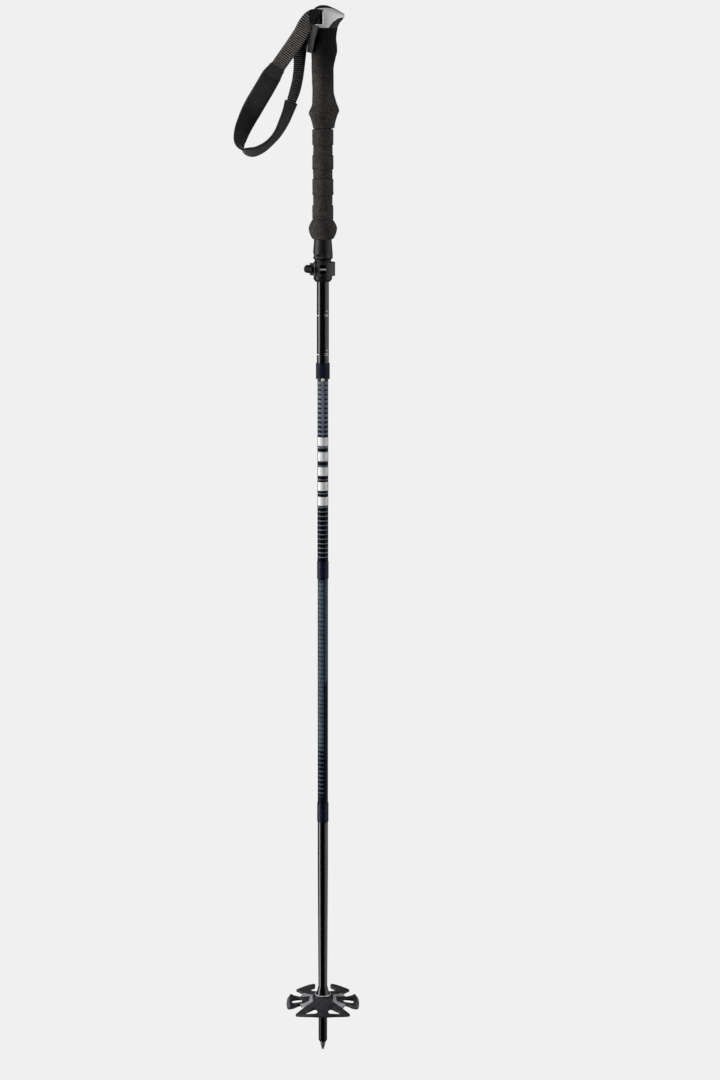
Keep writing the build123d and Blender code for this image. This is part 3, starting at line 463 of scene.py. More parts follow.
def flow(rows, at):
    """The other columns of a table at a value of its first, on a smooth curve through the rows."""
    last = len(rows) - 2
    i = next((n for n in range(last + 1) if at <= rows[n + 1][0]), last)
    start, end = rows[i][0], rows[i + 1][0]
    span = end - start
    share = min(max((at - start) / span, 0), 1)
    found = []
    for column in range(1, len(rows[0])):

        def slope(row):
            before, after = rows[max(row - 1, 0)], rows[min(row + 1, len(rows) - 1)]
            return (after[column] - before[column]) / (after[0] - before[0])

        a, b = rows[i][column], rows[i + 1][column]
        rise = 2 * share**3 - 3 * share**2 + 1
        lead = share**3 - 2 * share**2 + share
        trail = share**3 - share**2
        found.append(rise * a + (1 - rise) * b + span * (lead * slope(i) + trail * slope(i + 1)))
    return found


def loft(rows, place, *columns):
    """A loop for each row: place(row, ...) for the values side by side in the columns."""
    return [[place(row, *values) for values in zip(*columns)] for row in rows]


def round_turns(count):
    """Evenly spaced directions round a circle."""
    return [2 * pi * n / count for n in range(count)]


def circle(radius, height, count):
    """A level ring of points round the pole's axis."""
    return [(radius * cos(turn), radius * sin(turn), height) for turn in round_turns(count)]


def uneven(point, size, depth):
    """A small repeatable offset for a point, with lumps of size and depth in mm."""
    return noise.noise(Vector(point) / size) * depth


# ---- foam grips
FOAM = foam()
# the outside of the handle, from the foam's lower end to the top of the head: height on the axis,
# reach towards the beak and towards the strap, half width, how pointed the beak is, slope
HANDLE = [
    (1195, 14.8, 12, 12.5, 0, 0),
    (1202, 16.3, 13.7, 13, 0, 0.03),
    (1210, 19.5, 16.4, 14, 0, 0.07),
    (1216, 22, 18.4, 15.5, 0, 0.09),
    (1225, 18.6, 14.2, 13, 0, 0.07),
    (1234, 15.8, 13.6, 12, 0, 0.03),
    (1241, 14.2, 13.3, 12, 0, 0.01),
    (1257, 13.7, 14, 12.5, 0, 0),
    (1270, 14, 14.6, 12.5, 0, 0.02),
    (1280, 17, 14.8, 12.3, 0, 0.05),
    (1288.5, 19.8, 15, 12, 0, 0.08),
    (1303, 18.4, 12.6, 11.5, 0, 0.14),
    (1313, 20.3, 13.6, 12, 0, 0.2),
    (1318, 23.7, 13.9, 12.3, 0.02, 0.24),
    (1322, 27.7, 14.8, 12.6, 0.1, 0.187),
    (1326, 30.6, 15.6, 12.8, 0.2, 0.133),
    (1328, 31.6, 15.8, 12.8, 0.26, 0.107),
    (1331, 31.4, 15.9, 12.7, 0.3, 0.067),
    (1334, 30.3, 15.6, 12.2, 0.3, 0.027),
    (1337, 25.7, 14.6, 11.2, 0.24, 0),
    (1340, 18.8, 12.4, 9.2, 0.15, 0),
    (1342.4, 12.3, 9, 6.6, 0.08, 0),
    (1344.3, 5.9, 4.4, 3.4, 0, 0),
    (1344.8, 0.4, 0.4, 0.3, 0, 0),
]
HANDLE_ROWS = [(float(i), *row) for i, row in enumerate(HANDLE)]
HANDLE_TOP = len(HANDLE) - 1
JOINT = 1317.2  # where the foam ends and the head starts
COLUMNS = 240


def handle_point(turn, level):
    """A point of the handle's outside and its distance towards the beak. level counts rows."""
    height, beak, strap, half, pointed, slope = flow(HANDLE_ROWS, level)
    forward = (beak - strap) / 2 + (beak + strap) / 2 * cos(turn)
    sideways = half * sin(turn) * (1 - pointed * max(0, cos(turn)) ** 2)
    return BEAK * forward + SIDE * sideways + UP * (height + slope * forward), forward


def handle_offset(turn, level, depth):
    """A point of the handle's outside, moved outwards by depth."""
    point = handle_point(turn, level)[0]
    round_it = handle_point(turn + 0.01, level)[0] - handle_point(turn - 0.01, level)[0]
    above, below = min(level + 0.02, HANDLE_TOP - 0.1), max(level - 0.02, 0)
    up_it = handle_point(turn, above)[0] - handle_point(turn, below)[0]
    return point + round_it.cross(up_it).normalized() * depth


def crossing(turn, edge):
    """The level at which the handle's outside rises past the height edge(forward)."""
    lower, upper = 0, HANDLE_TOP
    for _ in range(22):
        middle = (lower + upper) / 2
        point, forward = handle_point(turn, middle)
        if point.z < edge(forward):
            lower = middle
        else:
            upper = middle
    return upper


def foam_piece(name, loops, bore_heights, node):
    """A foam grip from its outside's loops and the heights of its bore's loops."""
    bore = [circle(high("handle_tube", 0), height, len(loops[0])) for height in bore_heights]
    points, faces = skin(bore + loops + bore[:1], closed_ends=False)
    made = piece_from(name, points, faces, [FOAM], "handle", "foam", 60)
    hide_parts(node)


def foam_upper():
    """The sculpted grip under the head, with a rolled lip at its lower end."""
    turns = round_turns(COLUMNS)
    ends = [crossing(turn, lambda f: JOINT) for turn in turns]
    start = 0.24  # the level where the lip ends
    rows = [(0, 2.4)]
    rows += [(start * (1 - sin(a)), 1.6 * (1 - cos(a))) for a in (pi / 2, 1.2, 0.8, 0.4)]
    rows += [(n, 0) for n in range(151)]

    def outside(row, turn, end):
        level, inset = row
        here = level if inset else start + (end - start) * level / 150
        point = handle_offset(turn, here, -inset)
        away = Vector((point.x, point.y, 0)).normalized()
        return point + away * (uneven(point, 9, 0.22) + uneven(point, 2, 0.06))

    foot = HANDLE[0][0]
    loops = loft(rows, outside, turns, ends)
    foam_piece("grip_foam_upper", loops, (JOINT, (JOINT + foot) / 2, foot + 0.4), "upper_grip")


def foam_lower():
    """The banded foam grip and its round bulb."""
    top, bottom = high("lower_grip"), low("lower_grip")
    edges = [1174.4, 1162.9, 1144.4, 1134, 1113.1, 1101.2, 1083.3]
    band, groove, bulb = 13.1, 12, 17.7

    def radius(z):
        if z < edges[-1]:
            below = (edges[-1] - z) / (edges[-1] - bottom)
            return flow([(0, 12.6), (0.12, 14.6), (0.45, bulb), (0.85, 14.9), (1, 12.4)], below)[0]
        level = band
        for i, edge in enumerate(edges[:-1]):
            into = 1 if i % 2 == 0 else -1
            level -= into * (band - groove) * min(max((edge - z) / 1.6 + 0.5, 0), 1)
        near = min(abs(z - edge) for edge in edges)
        return level + 0.12 * max(0, 1 - abs(near - 1.6) / 1.6) - 1 * max(0, 1 - near / 0.9)

    loops = [circle(10.6, top + 3, 96)]
    heights = [top - 0.5 * i for i in range(int((top - bottom) / 0.5) + 1)]
    for i, z in enumerate([top] + heights + [bottom]):
        ends = i in (0, len(heights) + 1)
        across = radius(z) - (1.4 if ends else 0.5 if i in (1, len(heights)) else 0)
        across -= 0.9 * max(0, 1 - (top - z) / 1.2)
        ring = []
        for turn in round_turns(96):
            point = Vector((across * cos(turn), across * sin(turn), z))
            away = uneven(point, 8, 0.25) + uneven(point, 1.8, 0.07)
            ring.append(point + Vector((cos(turn), sin(turn), 0)) * away)
        loops.append(ring)
    foam_piece("grip_foam_lower", loops, (bottom, top + 3), "lower_grip")


foam_upper()
foam_lower()


# ---- head of the handle
# the lower edge of the silver cap: distance towards the beak, height
CAP_EDGE = [
    (0.6, JOINT),
    (2.3, 1320.2),
    (4.8, 1322.7),
    (7.1, 1325),
    (10, 1326.6),
    (14, 1328.6),
    (19.7, 1329.9),
    (33, 1330.4),
]
CAP_WALL = 1.5
MOUTH = (173, 232, 1321.6, 1339.4)  # the strap's opening: directions round the head, heights


def in_mouth(turn, height):
    """How far inside the strap's opening a place on the head is, from 0 at its rim to 1."""
    place = (turn * 180 / pi) % 360
    from_side = min(place - MOUTH[0], MOUTH[1] - place) / 6
    from_end = min(height - MOUTH[2], MOUTH[3] - height) / 1.5
    return max(0, min(1, from_side, from_end))


def head():
    """The silver cap over a dark core, with a soft pad let into its top."""
    turns = round_turns(COLUMNS)
    joint = [crossing(turn, lambda f: JOINT) for turn in turns]
    cap_start = [crossing(t, lambda f: JOINT if f < 0.6 else flow(CAP_EDGE, f)[0]) for t in turns]
    pad_start = [crossing(t, lambda f: 1341.9 - 0.0098 * f * f) for t in turns]

    def core_point(row, turn, bottom, edge):
        share = row / 60
        if share < 0.5:
            level = bottom + (edge - bottom) * share * 2
        else:
            level = edge + (HANDLE_TOP - 0.6 - edge) * (share * 2 - 1)
        height = handle_point(turn, level)[0].z
        depth = -0.4 if share < 0.48 and edge > bottom + 0.02 else -CAP_WALL - 0.05
        return handle_offset(turn, level, depth - 5.5 * in_mouth(turn, height))

    def cap_point(row, turn, start, end):
        level = start + (end - start) * (row / 80)
        height = handle_point(turn, level)[0].z
        roll = -0.3 * max(0, 1 - min(row, 80 - row) / 1.5)
        away = min(abs(turn * 180 / pi - side) for side in MOUTH[:2]) / 3
        lip = 0.35 * max(0, 1 - away) if MOUTH[2] - 1 < height < MOUTH[3] + 1 else 0
        return handle_offset(turn, level, roll + lip)

    def pad_point(row, turn, start):
        level = start + (HANDLE_TOP - start) * max(0, row - 2) / 28
        proud = (-1.4, -0.4, 0.05)[row] if row < 3 else min(0.5, 0.08 + 0.14 * (row - 2))
        return handle_offset(turn, level, proud)

    points, faces = skin(loft(range(61), core_point, turns, joint, cap_start))
    made = piece_from("head_core_form", points, faces, [HEAD_RUBBER], "handle", "black_rubber", 60)
    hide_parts("head_core")
    cap = loft(range(81), cap_point, turns, cap_start, pad_start)
    points, faces = skin(cap, closed_ends=False)
    kept = []
    for face in faces:
        turn = 2 * pi * (face[0] % COLUMNS + 0.5) / COLUMNS
        if in_mouth(turn, sum(points[i].z for i in face) / 4) <= 0:
            kept.append(face)
    made = piece_from("head_cap", points, kept, [CAP_SILVER], "handle", "satin_silver", 60)
    shell = made.modifiers.new("wall", "SOLIDIFY")
    shell.thickness = CAP_WALL * MM
    shell.offset = -1
    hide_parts("cap_shell")
    points, faces = skin(loft(range(31), pad_point, turns, pad_start))
    made = piece_from("head_pad", points, faces, [HEAD_RUBBER], "handle", "black_rubber", 60)
    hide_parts("cap_top_pad")


head()


# ---- wrist strap
# Each station: the ribbon's middle, and the direction across it from its front edge to its back edge.
UPPER_LEG = [
    ((0.5, -3, 1330.6), (0, 10, -12)),
    ((-4, -9.6, 1331.2), (1, 9, -14)),
    ((-13, -12.6, 1330.4), (6, 3, -15)),
    ((-20.5, -12, 1323), (13, 4, -11)),
    ((-26.5, -10.5, 1311.8), (16, 1, -9)),
    ((-35.8, -9.2, 1297.7), (17, 1, -8.5)),
    ((-46, -7.4, 1283.5), (17, 2, -8)),
]
PAD = [
    ((-55, -5, 1271), (17, 4, -7.5)),
    ((-62.5, -3.6, 1260.2), (20, 6, -9)),
    ((-73, -1.5, 1242.5), (22, 3, -10)),
    ((-84, 0.5, 1224.3), (22, 3, -10)),
    ((-93.3, 1.5, 1206.7), (19, 11, -11)),
    ((-100, 1.5, 1191.2), (16, 16, -10)),
    ((-102.4, 0.8, 1178), (12, 20, -8)),
    ((-98.5, 0.2, 1169), (6, 23, -8)),
    ((-87.5, 0, 1166.3), (0, 22, -11)),
    ((-75.8, 0.2, 1170.3), (2, 22.7, -10)),
    ((-64.6, 0.6, 1178.8), (5, 23.5, -6)),
    ((-55.3, 1.2, 1189.8), (7, 23, -5)),
    ((-47.9, 1.6, 1203.8), (11, 22, -4)),
    ((-42.3, 1.6, 1217.5), (13, 21, -2)),
    ((-38.9, 1.5, 1228), (13, 16, -1)),
]
LOWER_LEG = [
    ((-34.6, 2, 1240.5), (13, 12.5, 0.5)),
    ((-31, 2, 1256), (13, 12.5, 2)),
    ((-29, 1, 1272.7), (13, 11, 2.4)),
    ((-28, -1.5, 1290), (14, 7, 4)),
    ((-26.5, -4.4, 1304), (15, 3, 5)),
    ((-22.5, -7.2, 1316), (13, 2, -6)),
    ((-15.5, -9.4, 1326), (5, 3, -15)),
    ((-5, -9.4, 1330.5), (0, 4, -16)),
]
TAIL = [
    ((-9.6, -12.6, 1321), (9, -6, -1)),
    ((-13.2, -10.2, 1306.7), (8.6, -9, 2)),
    ((-16.6, -8.6, 1287.5), (6.5, -10, 6)),
]
WEB_WIDTH, WEB_THICK = 18.5, 1.8
RIB, RIB_DEPTH = 2.5, 0.3
PAD_WIDTH, PAD_THICK = 25, 3.4
PATCH = 16  # the smooth patch at the pad's upper end
WEB_POINTS, PAD_POINTS = 15, 29  # points across each face of the webbing and of the pad


class Ribbon:
    """A smooth ribbon through its stations, measured along its middle."""

    def __init__(self, stations):
        middles = [Vector(middle) for middle, across in stations]
        travelled = [0]
        for a, b in zip(middles, middles[1:]):
            travelled.append(travelled[-1] + (b - a).length)
        self.rows = [
            (far, *middle, *Vector(across).normalized())
            for far, middle, (_, across) in zip(travelled, middles, stations)
        ]
        self.length = travelled[-1]
        self.places = travelled

    def at(self, far):
        """The middle at a distance, and the directions across and out of the inner face."""
        values = flow(self.rows, far)
        ahead = Vector(flow(self.rows, min(far + 0.5, self.length))[:3])
        behind = Vector(flow(self.rows, max(far - 0.5, 0))[:3])
        along = (ahead - behind).normalized()
        across = Vector(values[3:])
        across = (across - along * across.dot(along)).normalized()
        return Vector(values[:3]), across, along.cross(across).normalized()

    def point(self, far, sideways, outwards):
        """A point along the ribbon, across it, and out of its inner face."""
        middle, across, inner = self.at(far)
        return middle + across * sideways + inner * outwards


def ribbon_skin(ribbon, start, end, step, section):
    """Points and faces of a ribbon. section(far) lists (sideways, outwards) round its edge."""
    count = max(2, round((end - start) / step))
    loops = []
    for i in range(count + 1):
        far = start + (end - start) * i / count
        middle, across, inner = ribbon.at(far)
        loops.append([middle + across * s + inner * o for s, o in section(far)])
    return skin(loops)


def web_section(width, ribs):
    """The section of webbing: rounded edges, and ribs that follow each other along it."""

    def section(far):
        swell = RIB_DEPTH * sin(2 * pi * far / RIB) if ribs else 0
        half, thick = width / 2, WEB_THICK / 2 - RIB_DEPTH
        outline = []
        for side in (1, -1):
            for n in range(WEB_POINTS):
                share = 1 - 2 * n / (WEB_POINTS - 1)
                round_off = (1 - abs(share) ** 14) ** 0.5
                outwards = thick * round_off + swell * round_off + 0.04 * sin(pi * n + far)
                outline.append((side * share * half, side * outwards))
        return outline

    return section


STRAP = Ribbon(UPPER_LEG + PAD + LOWER_LEG)
SEAM = STRAP.places[len(UPPER_LEG)]
FOLD_SHADE_REACH = 26  # how far the painted shade on the webbing's fold reaches from its end in the cap
PAD_END = STRAP.places[len(UPPER_LEG) + len(PAD) - 1]
# The ribs are painted: a painted highlight on the ridges and painted shade in the valleys.
PAINTED_HIGHLIGHT_RIDGE = webbing("webbing_ridge_painted_highlight", (96, 93, 92), (164, 158, 153), (200, 194, 188))
PAINTED_SHADE_VALLEY = webbing("webbing_valley_painted_shade", (2, 2, 2), (6, 6, 6), (20, 19, 19))
# the tail's own dark webbing, also used as painted shade on the fold near the cap
TAIL_WEBBING_AND_FOLD_SHADE = webbing("tail_webbing_and_fold_shade", (16, 16, 17), (34, 34, 36), (66, 65, 66))
FELT = felt()
PAD_COVER = sewn_edge("pad_cover", (44, 44, 47), (70, 70, 74))
BINDING = sewn_edge("pad_binding", (30, 30, 32), (58, 58, 61))
THREAD = paint("sewing_thread", (50, 50, 52), (74, 74, 77), 0.7)


def web_piece(name, ribbon, start, end, materials, node, width=WEB_WIDTH):
    """A run of webbing. With ribs, its first material is a painted highlight on the ridges and its second
    painted shade in the hollows between them; a third material is painted shade on the fold near the cap.
    """
    step = RIB / 6
    end = start + round((end - start) / step) * step
    points, faces = ribbon_skin(ribbon, start, end, step, web_section(width, len(materials) > 1))
    made = piece_from(name, points, faces, materials, "handle", "webbing", 50)
    for polygon in made.data.polygons:
        far = start + (polygon.index // (2 * WEB_POINTS) + 0.5) * step
        # painted shade in the hollows between ribs; the other faces keep the painted highlight of the
        # ridges
        if len(materials) > 1 and sin(2 * pi * far / RIB) < 0.3:
            polygon.material_index = 1
        # painted shade on the fold near the cap
        elif len(materials) > 2 and far < FOLD_SHADE_REACH and polygon.center.x > -17 * MM:
            polygon.material_index = 2
    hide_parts(node)
    return made


def pad_section(far):
    """The section of the padded band: crowned faces and a stitched groove at each edge."""
    narrow = max(0, 1 - (far - SEAM) / 14)
    half = PAD_WIDTH / 2 - 2.9 * narrow
    seam = 1 * max(0, 1 - abs(far - SEAM - PATCH) / 1.4)
    outline = []
    for side in (1, -1):
        for n in range(PAD_POINTS):
            share = 1 - 2 * n / (PAD_POINTS - 1)
            edge = (1 - abs(share)) * half
            thick = (PAD_THICK / 2 - 0.5 * narrow) * (0.9 + 0.1 * cos(share * pi / 2)) - seam
            groove = 0.55 * max(0, 1 - abs(edge - 2.2) / 0.9)
            round_off = min(1, (edge / 1.3) ** 0.5) if edge < 1.3 else 1
            pucker = 0.1 * sin(2 * pi * far / 3.1) * max(0, 1 - abs(edge - 2.2) / 1.6)
            lumps = 0.16 * noise.noise(Vector((far / 11, share * 1.7, side * 4)))
            outwards = side * max(0.25, (thick - groove + pucker) * round_off + lumps * round_off)
            outline.append((side * share * half, outwards))
    return outline


def capsule(a, b, out, radius):
    """One small stitch from a to b, bowed outwards."""
    loops = []
    ahead = (b - a).normalized()
    across = ahead.cross(out).normalized()
    for share, width in ((0, 0.35), (0.12, 0.85), (0.5, 1), (0.88, 0.85), (1, 0.35)):
        middle = a.lerp(b, share) + out * radius * 0.9 * sin(pi * share)
        spokes = [across * cos(turn) + out * sin(turn) for turn in round_turns(6)]
        loops.append([middle + spoke * radius * width for spoke in spokes])
    return skin(loops)


def stitch_piece(stitches):
    """Stitches as one piece. Each has two ends and the direction out of the cloth."""
    points, faces = [], []
    for a, b, out in stitches:
        some, patches = capsule(a, b, out, 0.24)
        faces += [tuple(i + len(points) for i in patch) for patch in patches]
        points += some
    piece_from("strap_stitches", points, faces, [THREAD], "handle", "padded_strap", 60)


def stitch_row(start, end, pitch, length, place, height):
    """A row of stitches on the strap. place(d) gives the distances along and across it."""
    row = []
    while start + length < end:
        first, last = place(start), place(start + length)
        out = STRAP.at(first[0])[2] * (1 if height > 0 else -1)
        row.append((STRAP.point(*first, height), STRAP.point(*last, height), out))
        start += pitch
    return row


def strap():
    """The wrist strap: two runs of webbing, the padded band, and the loose tail."""
    # ribs of painted highlight and painted shade
    ribbed = [PAINTED_HIGHLIGHT_RIDGE, PAINTED_SHADE_VALLEY]
    web_piece("strap_web_upper", STRAP, 0, SEAM + 3, ribbed + [TAIL_WEBBING_AND_FOLD_SHADE], "strap_upper_leg")
    web_piece("strap_web_lower", STRAP, PAD_END - 3, STRAP.length, ribbed, "strap_lower_leg")
    tail = Ribbon(TAIL)
    web_piece("strap_web_tail", tail, 0, tail.length, [TAIL_WEBBING_AND_FOLD_SHADE], "strap_tail", 13)
    step = 0.9
    points, faces = ribbon_skin(STRAP, SEAM, PAD_END, step, pad_section)
    cloth = [FELT, PAD_COVER, BINDING]
    made = piece_from("strap_padding", points, faces, cloth, "handle", "padded_strap", 60)
    for polygon in made.data.polygons:
        row, place = divmod(polygon.index, 2 * PAD_POINTS)
        if polygon.loop_total > 4 or not 1 < place % PAD_POINTS < PAD_POINTS - 3:
            polygon.material_index = 2
        elif place >= PAD_POINTS or row * step < PATCH:
            polygon.material_index = 1
    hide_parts("strap_pad")
    rows = []
    for side in (1, -1):
        for face in (1, -1):
            edge = side * (PAD_WIDTH / 2 - 2.2)
            height = face * (PAD_THICK / 2 - 0.42)
            rows += stitch_row(SEAM + 2, PAD_END - 2, 3.1, 2.1, lambda d: (d, edge), height)
    for far in (SEAM + 2, SEAM + PATCH + 2, PAD_END - 2, PAD_END - 8):
        for face in (1, -1):
            height = face * (PAD_THICK / 2 + 0.05)
            rows += stitch_row(3 - PAD_WIDTH / 2, PAD_WIDTH / 2 - 3, 2.6, 1.8, lambda d: (far, d), height)
    stitch_piece(rows)


strap()


# ---- powder basket
BASKET_PLASTIC = moulded("basket_plastic", (50, 50, 53), (72, 72, 76), 0.6, 0.4, shine=0.15)
INSERT_PLASTIC = moulded("insert_plastic", (160, 161, 163), (188, 189, 191), 0.6, 0.4, shine=0.15)
# a painted highlight on the outer rims of the side lobes
SKIRT_PAINTED_HIGHLIGHT = moulded("skirt_painted_highlight", (72, 73, 76), (112, 113, 117), 0.35, 0.4)
# the dish: distance from the axis, height of the upper surface
DISH = [(0, 73), (10.2, 72.6), (15, 70.6), (26, 67.6), (40, 66.2), (56, 67.4)]


def mirrored(points):
    """The same outline on the other side of X = 0."""
    return [(-x, y) for x, y in points]


def both_ways(points):
    """Points, then the same points backwards on the other side of Y = 0."""
    return points + [(x, -y) for x, y in reversed(points)]


def rounded(points, radius):
    """A closed outline with its corners rounded off."""
    found = []
    for i, point in enumerate(points):
        corner = Vector(point)
        before = Vector(points[i - 1]) - corner
        after = Vector(points[(i + 1) % len(points)]) - corner
        reach = min(radius, before.length * 0.45, after.length * 0.45)
        start, end = corner + before.normalized() * reach, corner + after.normalized() * reach
        for n in range(6):
            share = n / 5
            found.append(tuple(start.lerp(corner, share).lerp(corner.lerp(end, share), share)))
    return found


def arc(start, middle, end, count=14):
    """Points on an arc from start through middle to end, without its last point."""
    a, b, c = Vector(start), Vector(middle), Vector(end)
    control = b * 2 - (a + c) / 2
    shares = [n / count for n in range(count)]
    return [tuple(a.lerp(control, s).lerp(control.lerp(c, s), s)) for s in shares]


def wound(ring, leftwards):
    """The outline wound anticlockwise if leftwards, clockwise if not, with a point each 0.7 mm."""
    area = sum(a[0] * b[1] - b[0] * a[1] for a, b in zip(ring, ring[1:] + ring[:1]))
    ordered = list(ring) if (area > 0) == leftwards else list(reversed(ring))
    found = []
    for a, b in zip(ordered, ordered[1:] + ordered[:1]):
        start, end = Vector(a), Vector(b)
        parts = max(1, round((end - start).length / 0.7))
        found += [start.lerp(end, n / parts) for n in range(parts)]
    return found


def inside(point, rings):
    """True for a point inside the outline and outside its holes."""
    x, y = point
    odd = False
    for ring in rings:
        for a, b in zip(ring, ring[1:] + ring[:1]):
            if (a.y > y) != (b.y > y) and x < (b.x - a.x) * (y - a.y) / (b.y - a.y) + a.x:
                odd = not odd
    return odd


def plate(name, outline, holes, top, depth, material, slot, edge, skirt=0):
    """A moulded plate with rounded edges: top(x, y) is its upper face, depth(x, y) its thickness.

    skirt is how far its outer rim spreads sideways towards its lower edge; with a skirt, the outer rim's
    side faces take a painted highlight.
    """
    rings = [wound(outline, True)] + [wound(hole, False) for hole in holes]
    rim = kdtree.KDTree(sum(len(ring) for ring in rings))
    points, edges, inwards = [], [], []
    for ring in rings:
        first = len(points)
        for i, point in enumerate(ring):
            rim.insert((point.x, point.y, 0), len(points))
            along = ring[(i + 1) % len(ring)] - ring[i - 1]
            inwards.append(Vector((-along.y, along.x)).normalized())
            edges.append((first + i, first + (i + 1) % len(ring)))
            points.append(point)
    rim.balance()
    rims = len(points)

    def clearance(point):
        return rim.find((point[0], point[1], 0))[2]

    extra = [points[i] + inwards[i] * edge * share for i in range(rims) for share in (0.35, 1.05)]
    extra = [point for point in extra if clearance(point) > 0.3 * edge]
    xs, ys = [p.x for p in rings[0]], [p.y for p in rings[0]]
    step = 2
    for i in range(int((max(xs) - min(xs)) / step) + 1):
        for j in range(int((max(ys) - min(ys)) / step) + 1):
            place = Vector((min(xs) + step * (i + 0.5 * (j % 2)), min(ys) + step * j))
            if clearance(place) > edge * 1.7:
                extra.append(place)
    points += [point for point in extra if inside(point, rings)]
    flat, _, triangles, *_ = geometry.delaunay_2d_cdt(points, edges, [], 0, 1e-4)
    kept = []
    for triangle in triangles:
        middle = sum((flat[i] for i in triangle), Vector((0, 0))) / 3
        if inside(middle, rings):
            kept.append(tuple(triangle))
    shell, under = [], []
    for place in flat:
        far = clearance(place)
        share = min(far / edge, 1)
        drop = edge * (1 - (1 - (1 - share) ** 2) ** 0.5)
        x, y = place
        upper = top(x, y)
        shell.append((x, y, upper - drop))
        spread = skirt * min(1, max(0, (abs(x) - 40.5) / 2.5)) if far < 0.02 else 0
        lower = upper - depth(x, y) + 0.6 * drop
        under.append((x + (spread if x > 0 else -spread), y * (1 + 0.01 * spread), lower))
    count = len(flat)
    faces = kept + [tuple(i + count for i in reversed(t)) for t in kept]
    used = {}
    for a, b, c in kept:
        for pair in ((a, b), (b, c), (c, a)):
            used[frozenset(pair)] = None if frozenset(pair) in used else pair
    faces += [(b, a, a + count, b + count) for a, b in filter(None, used.values())]
    made = piece_from(name, shell + under, faces, [material, SKIRT_PAINTED_HIGHLIGHT], "basket", slot, 40)
    # the side faces of a skirted outer rim take the painted highlight
    for polygon in made.data.polygons:
        if polygon.loop_total == 4 and skirt and abs(polygon.center.x) > 42.2 * MM:
            polygon.material_index = 1
    return made


FRONT_HOLE = [(-21.9, -44), (-22.6, -35), (-9.8, -25), (-6.1, -31.6), (-8.3, -44)]
SIDE_HOLE = [(-27, -6.2), (-40.2, -8.2), (-40.2, 8.2), (-27, 6.2)]
WAIST = both_ways([(-25.1, -24), (-12.8, -10.8), (-13.8, -1.8)])
SIDE_ROOT = both_ways([(-29.4, 12.3), (-19, 8.7), (-17.3, 6)])


def dish_top(x, y):
    """The upper face of the wide lobes, whose corners droop."""
    out = hypot(x, y)
    height = flow(DISH, min(out, 56))[0]
    droop = max(0, (abs(x) - 8) / 27) ** 2 * max(0, (abs(y) - 20) / 20)
    lift = 0.045 * max(0, y) + 0.8 * max(0, (y - 25) / 25)
    return height - 3.6 * min(droop, 1.2) + lift


def stemmed_top(x, y):
    """The same face with the raised stem along the lobes' middle."""
    stem = max(0, 1 - (abs(x) / 3.4) ** 2) * min(1, max(0, (abs(y) - 15) / 5))
    return dish_top(x, y) + 0.7 * stem


def side_top(x, y):
    """The upper face of a side lobe, whose outer rim curls up."""
    out = abs(x)
    height = flow(DISH, min(hypot(x, y), 56))[0]
    return height + 0.9 * max(0, (out - 38) / 6)


def side_depth(x, y):
    """A side lobe is thicker towards its outer rim."""
    return 3.6 + 1.8 * min(1, max(0, (abs(x) - 34) / 10))


def hub():
    """The basket's hub, blended into the plate."""
    bore = 6.2
    bottom, top = low("basket"), low("hub_ring") + 1
    rise = [(10.2, bottom + 1), (10.2, 69.8), (10.6, 71.6), (9.6, 73.2), (9.3, top - 0.3), (8.8, top)]
    profile = [(bore, top), (bore, bottom), (9.4, bottom)] + rise
    loops = [circle(across, z, 72) for across, z in profile]
    points, faces = skin(loops + [loops[0]], closed_ends=False)
    piece_from("basket_hub", points, faces, [BASKET_PLASTIC], "basket", "basket_plastic", 50)


def hub_band():
    """The thin ring round the top of the hub; its pale colour is a painted highlight on the hub's rim."""
    thick = 0.6
    middle = high("hub_ring") - thick
    profile = [(9.75 + thick * cos(tilt), middle + thick * sin(tilt)) for tilt in round_turns(10)]
    loops = [[(r * cos(turn), r * sin(turn), z) for r, z in profile] for turn in round_turns(96)]
    points, faces = skin(loops + [loops[0]], closed_ends=False)
    made = piece_from("hub_band", points, faces, [HUB_RIM_HIGHLIGHT], "basket", "grey_plastic", 60)
    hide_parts("hub_ring")


def basket():
    """The powder basket: a plate with the two wide lobes, two side lobes, and the grey insert."""
    front = arc((-35, -39), (0, -50.6), (35, -39), 28)
    notch = arc((10.3, 47.8), (10, 44), (11.5, 41.4), 4) + arc((11.5, 41.4), (17.4, 33), (7, 25.4))
    wing = [(-x, -y) for x, y in front if x < -10.5]
    outline = front + [(35, -39)] + mirrored(WAIST) + wing + notch
    outline += list(reversed(mirrored(wing + notch))) + list(reversed(WAIST))
    bore = [point[:2] for point in circle(9, 0, 48)]
    near = rounded(FRONT_HOLE, 3)
    holes = [near, mirrored(near), bore]
    wide = (stemmed_top, lambda x, y: 3.7, BASKET_PLASTIC, "basket_plastic", 0.55)
    made = plate("basket_lobes", outline, holes, *wide)
    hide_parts("basket")
    hub()
    hub_band()
    side = arc((-42.4, 21.2), (-44, 0), (-42.4, -21.2)) + [(-42.4, -21.2)] + list(reversed(SIDE_ROOT))
    slot_hole = rounded(SIDE_HOLE, 3.2)
    narrow = (side_top, side_depth, BASKET_PLASTIC, "basket_plastic", 0.7, 3.4)
    plate("basket_side_left", side, [slot_hole], *narrow)
    plate("basket_side_right", mirrored(side), [mirrored(slot_hole)], *narrow)
    band = both_ways([(-12.4, -10.6), (-24.9, -23.7), (-29.6, -12.1), (-18.9, -8.5), (-17, -5.8)])
    band += [(-13.4, 1.8), (-13.4, -1.8)]
    grey = (lambda x, y: dish_top(x, y) - 0.25, lambda x, y: 3, INSERT_PLASTIC, "grey_plastic", 0.4)
    plate("basket_insert_left", band, [], *grey)
    made = plate("basket_insert_right", mirrored(band), [], *grey)
    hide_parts("basket_insert")


basket()


# ---- printed marks
WHITE_INK = paint("white_ink", (232, 232, 233), (246, 246, 247), 0.45)
INK = 0.02  # how far a print stands off the tube


